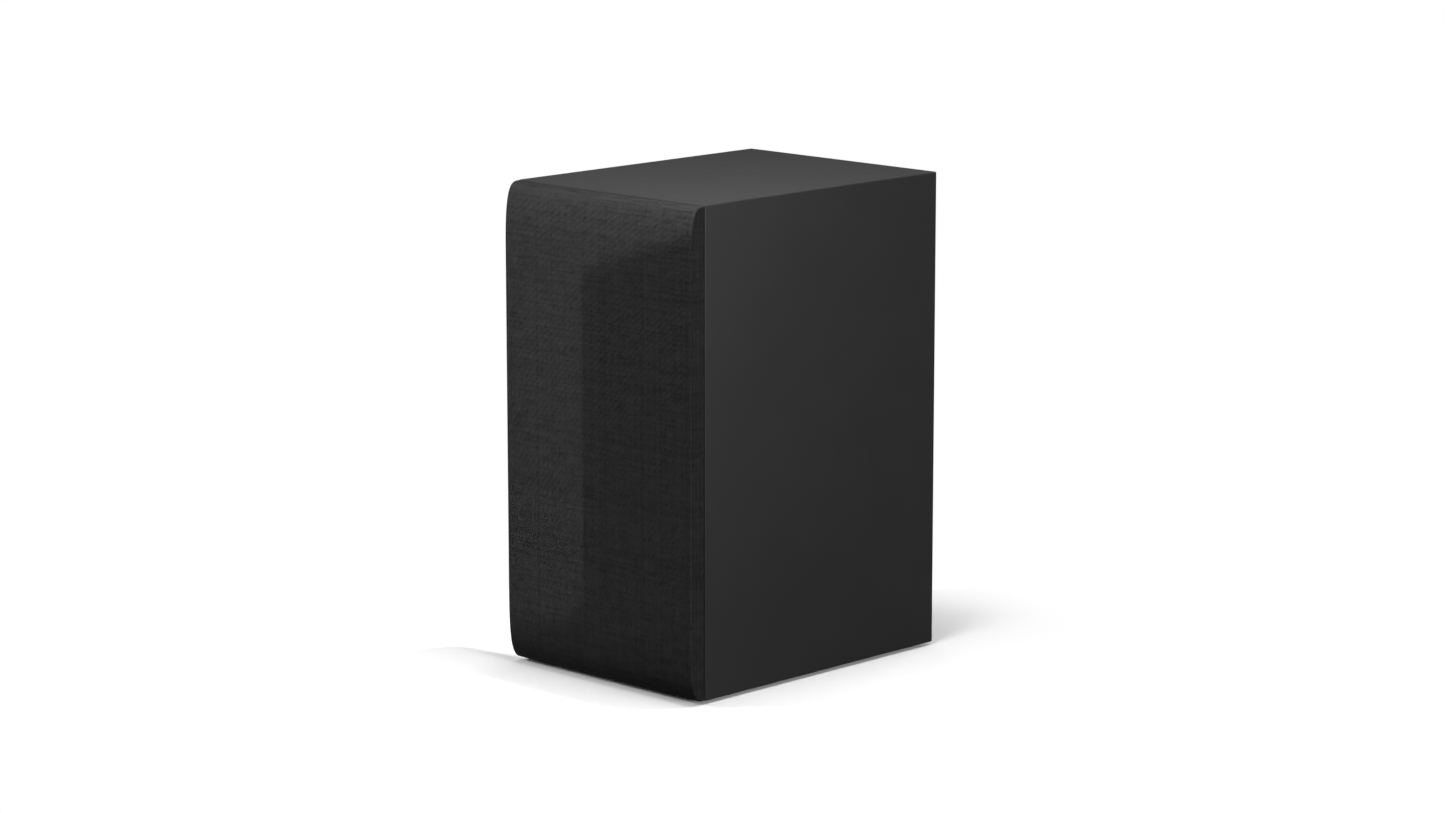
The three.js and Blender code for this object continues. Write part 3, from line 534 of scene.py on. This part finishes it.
def dress(obj, body, slot, replaced, crease=35):
    """Gives a new piece its finish, its shading and its body, and hides the CAD nodes that it stands for."""
    obj.data.materials.clear()
    obj.data.materials.append(material_of(slot))
    obj.data.shade_smooth()
    obj.data.set_sharp_from_angle(angle=math.radians(crease))
    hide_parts(*replaced)
    if body:
        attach(obj, body)
    return obj


def turned_piece(name, outline, centre, body, replaced, segments=96, crease=35):
    obj = bare_object(name, *turned(outline, centre, segments))
    return dress(obj, body, SLOTS[replaced[0]], replaced, crease)


def prism(outline, low, high):
    """Points and faces of an (x, z) outline pushed along Y."""
    count = len(outline)
    points = [(x, y, z) for y in (low, high) for x, z in outline]
    sides = [(j, (j + 1) % count, count + (j + 1) % count, count + j) for j in range(count)]
    return points, sides + [tuple(range(count)), tuple(range(2 * count - 1, count - 1, -1))]


def rounded_rectangle(low, high, radius, steps):
    """An outline between two corners (x, z), turned about +Y from its right edge."""
    (x0, z0), (x1, z1) = low, high
    return (arc((x1 - radius, z1 - radius), radius, 0, 90, steps)
            + arc((x0 + radius, z1 - radius), radius, 90, 180, steps)
            + arc((x0 + radius, z0 + radius), radius, 180, 270, steps)
            + arc((x1 - radius, z0 + radius), radius, 270, 360, steps))


# ---------------------------------------------------------------- the box
def make_wrap():
    """The four walls as one folded, vinyl-wrapped shell with softly rounded edges."""
    EDGE, INNER_EDGE, CORNER = 0.9 * MM, 0.4 * MM, 1.0 * MM
    front, back = SEAM, BOX_HIGH[1]
    wall = filleted([(0, front, EDGE), (0, back, EDGE), (PANEL, back, INNER_EDGE),
                     (PANEL, front, INNER_EDGE)])
    low, high = BOX_LOW[[0, 2]], BOX_HIGH[[0, 2]]
    rings = []
    for inset, y in wall:
        radius = max(CORNER - inset, INNER_EDGE)
        outline = rounded_rectangle(low + inset, high - inset, radius, 5)
        rings.append([(x, y, z) for x, z in outline])
    obj = bare_object("cabinet_wrap", *loft(rings, closed=True))
    dress(obj, "cabinet", "vinyl_wrap", BOX_PANELS)


def make_baffle():
    """The black-stained board that carries the driver, drilled for the pegs and the screws."""
    outline = rounded_rectangle(BAFFLE_LOW[[0, 2]], BAFFLE_HIGH[[0, 2]], 0.5 * MM, 2)
    obj = bare_object("baffle_board", *prism(outline, BAFFLE_LOW[1], BAFFLE_HIGH[1]))
    CUTOUT, PEG_HOLE, PILOT = 60 * MM, 3.3 * MM, 2.1 * MM
    through = (BAFFLE_LOW[1] - MM, BAFFLE_HIGH[1] + MM)
    combine(obj, *prism(arc(DRIVER, CUTOUT, 0, 360, 96)[:-1], *through), "DIFFERENCE")
    for place in PEGS:
        combine(obj, *prism(arc(place, PEG_HOLE, 0, 360, 28)[:-1], *through), "DIFFERENCE")
    for place in EARS:
        combine(obj, *prism(arc(place, PILOT, 0, 360, 16)[:-1], *through), "DIFFERENCE")
    dress(obj, "cabinet", "mdf", ["front_baffle"])


def make_feet():
    """Low rubber discs with a rounded tread edge and a shallow dish underneath."""
    DISH = 0.35 * MM
    for node in ("foot_front_left", "foot_front_right", "foot_rear_left", "foot_rear_right"):
        low, high = box_of(node)
        radius, height = (high[0] - low[0]) / 2, high[2] - low[2]
        outline = filleted([(0, DISH, 0), (radius * 0.62, DISH, 0.3 * MM),
                            (radius * 0.7, 0, 0.3 * MM), (radius, 0, 0.8 * MM),
                            (radius, height, 0.15 * MM), (0, height, 0)], closed=False)
        points, faces = turned(outline, (0, 0), 64)
        centre = (low + high) / 2
        points = [(x + centre[0], z + centre[1], y) for x, y, z in points]
        dress(bare_object("rubber_" + node, points, faces), "cabinet", "rubber", [node])


def make_wadding():
    """A slab of polyester fleece, crowned between its edges and lumpy all over."""
    RIM, THINNING, LUMP, SMALL_LUMP = 0.8, 0.45, 0.10, 0.05
    low, high = box_of("damping_wadding")
    centre, half = (low + high) / 2, (high - low) / 2
    maker = bmesh.new()
    bmesh.ops.create_cube(maker, size=2)
    bmesh.ops.subdivide_edges(maker, edges=maker.edges, cuts=28, use_grid_fill=True)
    for vertex in maker.verts:
        unit = np.array(vertex.co)
        rim = max(abs(unit[1]), abs(unit[2]))
        thickness = 1 - THINNING * max(0.0, (rim - RIM) / 0.2) ** 2
        lump = noise.noise(Vector(unit * 5)) * LUMP + noise.noise(Vector(unit * 14)) * SMALL_LUMP
        x = half[0] * (unit[0] * thickness * (0.85 + lump) - 0.08)
        vertex.co = Vector((centre[0] + x, centre[1] + half[1] * unit[1] * (0.98 + 0.02 * lump),
                            centre[2] + half[2] * unit[2] * (0.98 + 0.02 * lump)))
    mesh = bpy.data.meshes.new("wadding_pad")
    maker.to_mesh(mesh)
    maker.free()
    obj = bpy.data.objects.new("wadding_pad", mesh)
    SCENE.collection.objects.link(obj)
    dress(obj, "cabinet", "wadding", ["damping_wadding"], crease=80)


# ---------------------------------------------------------------- the grille
HEM_GAP, HEM_RADIUS = 0.3 * MM, 0.6 * MM


def grille_side_outline(count):
    """Points, outward normals and lengths along the cloth's side outline, bottom to top: flat in
    front, and rounded to the box's edges above and below by a superellipse, as in the frame."""
    ROUND_HEIGHT, POWER_Z, POWER_Y = 50 * MM, 3.34, 3.43
    depth = SEAM - CLOTH_LOW[1]
    low, high = CLOTH_LOW[2], CLOTH_HIGH[2]
    hem_turn = math.asin(((HEM_GAP + HEM_RADIUS) / depth) ** (POWER_Y / 2))
    turns = np.linspace(hem_turn, math.pi / 2, count)
    out = depth * np.sin(turns) ** (2 / POWER_Y)
    up = ROUND_HEIGHT * (1 - np.cos(turns) ** (2 / POWER_Z))
    flat = np.linspace(low + ROUND_HEIGHT, high - ROUND_HEIGHT, 2 * count)[1:-1]
    y = np.concatenate([SEAM - out, np.full(len(flat), SEAM - depth), (SEAM - out)[::-1]])
    z = np.concatenate([low + up, flat, (high - up)[::-1]])
    tangent = np.stack([np.gradient(y), np.gradient(z)], 1)
    tangent /= np.linalg.norm(tangent, axis=1)[:, None]
    normal = np.stack([-tangent[:, 1], tangent[:, 0]], 1)
    normal[0], normal[-1] = (0, -1), (0, 1)
    steps = np.hypot(np.diff(y), np.diff(z))
    length = np.concatenate([[0], np.cumsum(steps)])
    return np.stack([y, z], 1), normal, length - length[-1] / 2


def make_cloth():
    """One sheet pulled over the frame: the front, a tight fold at each side, flat cheeks back to
    the seam, and a hem that turns in all round."""
    CORNER, THICKNESS, HEM = 1.3 * MM, 0.5 * MM, 0.5 * MM
    END_ROWS, FRONT_COLUMNS, CHEEK_COLUMNS = 26, 24, 6
    points, normals, length = grille_side_outline(END_ROWS)
    half = CLOTH_HIGH[0]
    hem_start = SEAM - HEM_GAP - HEM_RADIUS
    middle_z = (CLOTH_LOW[2] + CLOTH_HIGH[2]) / 2

    # rows beyond the ends of the outline, where the cloth turns in behind the frame's edge
    turn_in = [(math.radians(a), 0.0) for a in (30, 60, 90)] + [(math.pi / 2, HEM)]
    rows = [(y, z, ny, nz, s, 0.0) for (y, z), (ny, nz), s in zip(points, normals, length)]
    for end in (0, -1):
        _, z, _, _, s, _ = rows[end]
        outward = -1 if end == 0 else 1
        extra = []
        for angle, extra_run in turn_in:
            sunk = HEM_RADIUS * (1 - math.cos(angle)) + extra_run
            run = HEM_RADIUS * angle + extra_run
            y = hem_start + HEM_RADIUS * math.sin(angle)
            extra.append((y, z, 0.0, outward, s + outward * run, sunk))
        rows = extra[::-1] + rows if end == 0 else rows + extra

    columns = [("front", x) for x in np.linspace(0, half - CORNER, FRONT_COLUMNS)]
    columns += [("fold", math.radians(a)) for a in (15, 30, 45, 60, 75, 90)]
    columns += [("cheek", share) for share in np.linspace(0, 1, CHEEK_COLUMNS + 1)[1:]]
    columns += [("hem", turn) for turn in turn_in]
    columns = [(kind, value, -1) for kind, value in columns[:0:-1]] + [(k, v, 1) for k, v in columns]

    grid, uvs = [], []
    for y, z, ny, nz, s, hem_sunk in rows:
        for kind, value, side in columns:
            px, py, pz, u, v = half - CORNER, y, z - hem_sunk * nz, half - CORNER, s
            if kind == "front":
                px = u = value
            elif kind == "fold":
                radius = CORNER - hem_sunk
                px = half - CORNER + radius * math.sin(value)
                sunk = CORNER - radius * math.cos(value)
                py, pz, u = y - sunk * ny, z - sunk * nz, u + CORNER * value
            else:
                px = half
                fold_y, fold_z = y - CORNER * ny, z - CORNER * nz
                reach = max(hem_start - fold_y, 0.0)
                share = value if kind == "cheek" else 1.0
                py, pz = fold_y + reach * share, fold_z
                u += CORNER * math.pi / 2 + (py - CLOTH_LOW[1])
                v = fold_z - middle_z
                if kind == "hem":
                    angle, extra_run = value
                    px = half - HEM_RADIUS * (1 - math.cos(angle)) - extra_run
                    py += HEM_RADIUS * math.sin(angle)
                    u += HEM_RADIUS * angle + extra_run
            grid.append((side * px, py, pz))
            uvs.append((side * u, v))

    # at the four rear corners the rows' hem ends where the cheek's hem begins
    width, hem_rows, rim_columns = len(columns), len(turn_in), CHEEK_COLUMNS + len(turn_in)
    regular = range(hem_rows, len(rows) - hem_rows - 1)
    faces = [(r * width + c, r * width + c + 1, (r + 1) * width + c + 1, (r + 1) * width + c)
             for r in range(len(rows) - 1) for c in range(width - 1)
             if r in regular or rim_columns <= c < width - 1 - rim_columns]
    obj = bare_object("grille_cloth", grid, faces)
    layer = obj.data.uv_layers.new(name="weave")
    for loop in obj.data.loops:
        layer.data[loop.index].uv = uvs[loop.vertex_index]
    maker = bmesh.new()
    maker.from_mesh(obj.data)
    SAME_PLACE = 0.005 * MM
    bmesh.ops.remove_doubles(maker, verts=maker.verts, dist=SAME_PLACE)
    bmesh.ops.delete(maker, geom=[v for v in maker.verts if not v.link_faces], context="VERTS")
    maker.to_mesh(obj.data)
    maker.free()
    shell = obj.modifiers.new("thickness", "SOLIDIFY")
    shell.thickness, shell.offset = THICKNESS, -1
    dress(obj, "grille", "grille_cloth", ["grille_fabric"], crease=60)


# ---------------------------------------------------------------- the driver
def driver_piece(name, outline, body, replaced, segments=96, crease=35):
    """A turned piece of the driver, its outline given as (radius, distance behind the baffle)."""
    moved = [(r * MM, BAFFLE_FACE + w * MM) for r, w in outline]
    return turned_piece(name, moved, DRIVER, body, replaced, segments, crease)


EAR_CIRCLE, EAR_RADIUS = 72 * MM, 7 * MM
EARS = [(DRIVER[0] + EAR_CIRCLE * math.cos(math.radians(a)),
         DRIVER[1] + EAR_CIRCLE * math.sin(math.radians(a))) for a in (45, 135, 225, 315)]
LATTICE = 26 * MM
PEGS = [(column * LATTICE, DRIVER[1] + row * LATTICE)
        for column in (-2.5, 2.5) for row in (-5, -2, 2, 5)]


def make_basket():
    """Pressed steel basket: a rim with four ears, slanting legs between windows, and a floor."""
    EAR_HOLE, WINDOWS, HALF_WINDOW = 2.2 * MM, 6, 20
    outline = filleted([
        (70, -1.2, 0.5), (58.2, -1.2, 0.8), (57.8, 2, 0), (56.3, 13.6, 3), (44, 34.8, 1),
        (37.8, 34.8, 0.8), (37.8, 44.8, 1), (15.5, 44.8, 0.3), (15.5, 46, 0.3), (39, 46, 1.2),
        (39, 36, 0.5), (45.2, 36, 1.5), (57.5, 14, 3), (59, 2, 0), (59.5, 0, 0.3), (70, 0, 0.2),
    ])
    points = [(r * MM, BAFFLE_FACE + w * MM) for r, w in outline]
    obj = bare_object("driver_basket", *turned(points, DRIVER, 96))
    rim_front, rim_back = BAFFLE_FACE - 1.2 * MM, BAFFLE_FACE
    for ear in EARS:
        combine(obj, *prism(arc(ear, EAR_RADIUS, 0, 360, 40)[:-1], rim_front, rim_back), "UNION")
    for ear in EARS:
        hole = prism(arc(ear, EAR_HOLE, 0, 360, 20)[:-1], rim_front - MM, rim_back + MM)
        combine(obj, *hole, "DIFFERENCE")
    for i in range(WINDOWS):
        centre = 360 / WINDOWS * i
        window = (arc(DRIVER, 64 * MM, centre - HALF_WINDOW, centre + HALF_WINDOW, 10)
                  + arc(DRIVER, 40 * MM, centre + HALF_WINDOW, centre - HALF_WINDOW, 10))
        combine(obj, *prism(window, BAFFLE_HIGH[1] + 2 * MM, BAFFLE_FACE + 30 * MM), "DIFFERENCE")
    dress(obj, "cabinet", "basket_paint", ["woofer_basket"])


def blend_by_radius(obj):
    """Moves every point of a ring to stand at its own distance from the driver's axis along X,
    bakes the object's transform into its mesh, and puts every point back in its place."""
    rest = [vertex.co.copy() for vertex in obj.data.vertices]
    for vertex, place in zip(obj.data.vertices, rest):
        vertex.co = (math.hypot(place.x - DRIVER[0], place.z - DRIVER[1]), 0, 0)
    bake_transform(obj)
    for vertex, place in zip(obj.data.vertices, rest):
        vertex.co = place


def make_surround():
    """Rubber half roll with a flat lip on the cone and another under the gasket."""
    SKIN, ROLL, CENTRE, LIP = 0.7, 5.2, 55.5, -1.2
    front = LIP - SKIN
    outer_roll = arc((CENTRE, front), ROLL + SKIN / 2, 180, 360, 24)
    inner_roll = arc((CENTRE, LIP), ROLL - SKIN / 2, 360, 180, 24)
    outline = [(47, front), *outer_roll, (67, front), (67, LIP), *inner_roll, (47, LIP)]
    obj = driver_piece("rubber_surround", outline, None, ["surround"], 128, crease=50)
    blend_by_radius(obj)
    gasket = filleted([(61.7, front - 2, 0.5), (67, front - 2, 0.5), (67, front, 0.1), (61.7, front, 0.1)])
    driver_piece("rim_gasket", gasket, "cabinet", ["woofer_gasket"], 128)


def make_spider():
    """Resin-dipped cloth disc, pressed in rings."""
    SKIN, BORE, INNER, OUTER, RIM, BACK = 0.7, 13.05, 17, 37, 43, 34.8
    WAVES, WAVE_HEIGHT = 4, 1.3
    radii = np.linspace(INNER, OUTER, 49)
    rear = [(r, BACK - WAVE_HEIGHT * math.sin(2 * math.pi * WAVES * (r - INNER) / (OUTER - INNER)))
            for r in radii]
    front = [(r, w - SKIN) for r, w in rear]
    outline = [(BORE, BACK - SKIN), *front, (RIM, BACK - SKIN), (RIM, BACK), *rear[::-1], (BORE, BACK)]
    obj = driver_piece("cloth_spider", outline, None, ["spider"], 96, crease=60)
    blend_by_radius(obj)


def make_cone():
    """Paper cone with three shallow pressed rings, and a domed cap glued on it."""
    NECK, EDGE, LIP = 21.0, 47.2, -1.2
    slope = (NECK - 0.5 - LIP) / (EDGE - 13)
    level = lambda r: LIP + (EDGE - r) * slope
    RINGS, RING_HEIGHT = (27.0, 33.0, 39.0), 0.35
    pressed = lambda r: sum(RING_HEIGHT * math.exp(-((r - ring) / 0.6) ** 2) for ring in RINGS)
    radii = np.linspace(EDGE - 0.4, 13.05, 90)
    front = [(r, level(r) - pressed(r)) for r in radii]
    rear = [(r, level(r) + 1.2 - pressed(r)) for r in radii[::-1]]
    outline = [(50.2, LIP), (EDGE, LIP), *front, *rear, (50.2, LIP + 1)]
    driver_piece("paper_cone", outline, "woofer_cone", ["cone"], 128, crease=50)
    CAP, HEIGHT, SKIN = 20.0, 8.0, 0.8
    dome = lambda radius, height: [(radius * math.cos(t), level(CAP) - height * math.sin(t))
                                   for t in np.linspace(math.pi / 2, 0, 20)]
    outline = [*dome(CAP, HEIGHT), (CAP - SKIN, level(CAP - SKIN)), *dome(CAP - SKIN, HEIGHT - SKIN)[::-1]]
    driver_piece("domed_cap", outline, "woofer_cone", ["dust_cap"], 96, crease=60)


# ---------------------------------------------------------------- screws
def pan_head(name, node, radius, height, shaft, towards):
    """A cross-slotted pan-head screw along Y. Its head stands out of its seat towards -Y or +Y."""
    low, high = box_of(node)
    centre = ((low[0] + high[0]) / 2, (low[2] + high[2]) / 2)
    seat = low[1] + height if towards < 0 else high[1] - height
    tip = high[1] if towards < 0 else low[1]
    out = lambda distance: seat + towards * distance
    outline = filleted([(0, out(height), 0), (radius * 0.72, out(height), radius * 0.3),
                        (radius, out(height * 0.45), radius * 0.12), (radius, seat, 0),
                        (shaft, seat, 0), (shaft, tip, 0), (0, tip, 0)], closed=False)
    obj = bare_object(name, *turned(outline, centre, 40))
    for turn in (45, 135):
        along = np.array((math.cos(math.radians(turn)), math.sin(math.radians(turn))))
        across = np.array((-along[1], along[0]))
        reach, width = radius * 0.58, radius * 0.13
        outline = [tuple(np.array(centre) + along * a * reach + across * b * width)
                   for a, b in ((-1, -1), (1, -1), (1, 1), (-1, 1))]
        bottom, top = sorted((out(height * 0.35), out(height + MM)))
        combine(obj, *prism(outline, bottom, top), "DIFFERENCE")
    dress(obj, "cabinet", SLOTS[node], [node], crease=30)


def make_screws():
    for i in range(1, 5):
        pan_head(f"driver_screw_{i}", f"woofer_screw_{i}", 3.8 * MM, 2.0 * MM, 1.8 * MM, -1)
        pan_head(f"circuit_screw_{i}", f"board_screw_{i}", 2.5 * MM, 1.4 * MM, 1.2 * MM, -1)
    for i in range(1, 7):
        pan_head(f"plate_screw_{i}", f"amp_plate_screw_{i}", 3.6 * MM, 1.4 * MM, 1.8 * MM, 1)


# ---------------------------------------------------------------- the back
def make_port():
    """Reflex port: a flared mouth in a round flange, the tube, and the flare at its inner end."""
    low, high = box_of("port_tube")
    bore, outside, flange = 22 * MM, 24.5 * MM, (high[0] - low[0]) / 2
    MOUTH, FLARE, SLEEVE = 6 * MM, 8 * MM, 2 * MM
    lip, seat, end = high[1], box_of("rear_panel")[1][1], low[1]
    mouth = [(bore + MOUTH - MOUTH * math.cos(t), lip - MOUTH + MOUTH * math.sin(t))
             for t in np.linspace(0, math.pi / 2, 12)]
    groove = [(flange - 3.2 * MM, lip), (flange - 3.0 * MM, lip - 0.4 * MM),
              (flange - 2.4 * MM, lip - 0.4 * MM), (flange - 2.2 * MM, lip)]
    rim = filleted([(flange - 2.2 * MM, lip, 0), (flange, lip, 1.2 * MM), (flange, seat, 0)], closed=False)
    outline = [*mouth, *groove, *rim[1:], (outside, seat), (outside, end), (bore, end)]
    turned_piece("port", outline, PORT, "cabinet", ["port_tube"], 128)
    flare = [(bore + FLARE - FLARE * math.cos(t), end - FLARE * math.sin(t))
             for t in np.linspace(0, math.pi / 2, 12)]
    outline = [(outside, end + 10 * MM), (outside, end), *flare, (bore + 10 * MM, end - 7 * MM),
               (outside + SLEEVE, end - MM), (outside + SLEEVE, end + 10 * MM)]
    turned_piece("port_flare", outline, PORT, "cabinet", ["port_inner_flare"], 128)


def make_controls():
    """The dished pairing button, the lamp's light guide and the inlet's two pins."""
    CAP, STEM, DISH, LENS, CROWN = 4.0 * MM, 2.5 * MM, 0.35 * MM, 1.5 * MM, 0.6 * MM
    low, high = box_of("pairing_button")
    centre = ((low[0] + high[0]) / 2, (low[2] + high[2]) / 2)
    face, flange = high[1], (high[0] - low[0]) / 2
    stop = box_of("amp_gasket")[1][1] - 0.3 * MM
    dish = [(CAP * 0.7 * share, face - DISH * (1 - share * share)) for share in (0, 0.3, 0.6, 0.85)]
    rim = filleted([(CAP * 0.7, face, 0), (CAP, face, 0.4 * MM), (CAP, stop, 0)], closed=False)
    outline = [*dish, *rim, (flange, stop), (flange, stop - 1.5 * MM), (STEM, stop - 1.5 * MM),
               (STEM, low[1]), (0, low[1])]
    turned_piece("button_cap", outline, centre, "button", ["pairing_button"], 64)

    low, high = box_of("status_led")
    centre = ((low[0] + high[0]) / 2, (low[2] + high[2]) / 2)
    base = (high[0] - low[0]) / 2
    dome = [(LENS * math.sin(t), high[1] - CROWN * (1 - math.cos(t)))
            for t in np.linspace(0, math.pi / 2, 8)]
    outline = [*dome, (LENS, low[1] + 4 * MM), (base, low[1] + 4 * MM), (base, low[1]), (0, low[1])]
    turned_piece("lamp", outline, centre, "cabinet", ["status_led"], 40)

    for i in (1, 2):
        low, high = box_of(f"inlet_pin_{i}")
        radius = (high[0] - low[0]) / 2
        outline = filleted([(0, high[1], 0), (radius, high[1], radius * 0.8), (radius, low[1], 0.2 * MM),
                            (0, low[1], 0)], closed=False)
        centre = ((low[0] + high[0]) / 2, (low[2] + high[2]) / 2)
        turned_piece(f"mains_pin_{i}", outline, centre, "cabinet", [f"inlet_pin_{i}"], 32)


# ---------------------------------------------------------------- CAD nodes that keep their shape
def refine_nodes():
    """Gives every CAD node its finish, and a small bevel where its edges can be seen."""
    BEVELS = {"amp_plate": 0.35, "inlet_body": 0.3, "grille_frame": 0.4, "heatsink": 0.25,
              "magnet_yoke": 0.6, "magnet_top_plate": 0.5, "tact_switch": 0.2, "rf_shield_can": 0.3,
              "transformer_core": 0.4, "bulk_capacitor": 0.3, "amp_board": 0.15, "wireless_module": 0.15,
              "driver_terminal_strip": 0.2, "amp_gasket": 0.2, "rear_panel": 0.3}
    SMOOTH = ("speaker_lead_positive", "speaker_lead_negative", "output_inductor", "mains_fuse")
    SAME_PLACE = 1e-6
    for node, obj in frame["nodes"].items():
        obj.data.materials.clear()
        obj.data.materials.append(material_of(SLOTS[node]))
        weld = obj.modifiers.new("weld", "WELD")
        weld.merge_threshold = SAME_PLACE
        if node in BEVELS:
            bevel = obj.modifiers.new("bevel", "BEVEL")
            bevel.width, bevel.segments = BEVELS[node] * MM, 2
            bevel.limit_method, bevel.angle_limit = "ANGLE", math.radians(40)
        if node in SMOOTH:
            rounding = obj.modifiers.new("rounding", "SUBSURF")
            rounding.levels = rounding.render_levels = 1


SCENE.view_settings.view_transform = "Standard"
make_camera()
make_world()
make_floor()
# overhead lights the top, front_band makes the highlight on the grille's upper curve, corner_glow
# lifts the top's front right corner, side_fill lights the right side, the top mirrors rear_strip,
# and rear_fill and left_fill light the back and the left side
softbox("overhead", (1.4, 1.4), (0.2, 0.1, 2.1), (0, 0, 0.1), 11)
softbox("front_band", (0.8, 0.3), (-1.05, -0.95, 0.78), (0, -0.11, 0.3), 11)
softbox("corner_glow", (0.12, 0.12), (0.12, -0.1, 0.58), (0.1, -0.06, 0.3), 1.3)
softbox("side_fill", (1.6, 0.4), (2.0, -0.3, 0.4), (0.08, 0, 0.2), 37)
softbox("rear_strip", (1.2, 0.3), (-0.95, 0.97, 0.95), (0, 0, 0.3), 0.5)
softbox("rear_fill", (0.9, 0.5), (-0.3, 2.2, 0.7), (0, 0.1, 0.15), 14)
softbox("left_fill", (0.9, 0.7), (-2.1, 0.8, 0.35), (0, 0, 0.15), 2)
make_flagged_lamp()

refine_nodes()
make_wrap()
make_baffle()
make_feet()
make_wadding()
make_cloth()
make_basket()
make_surround()
make_spider()
make_cone()
make_screws()
make_port()
make_controls()
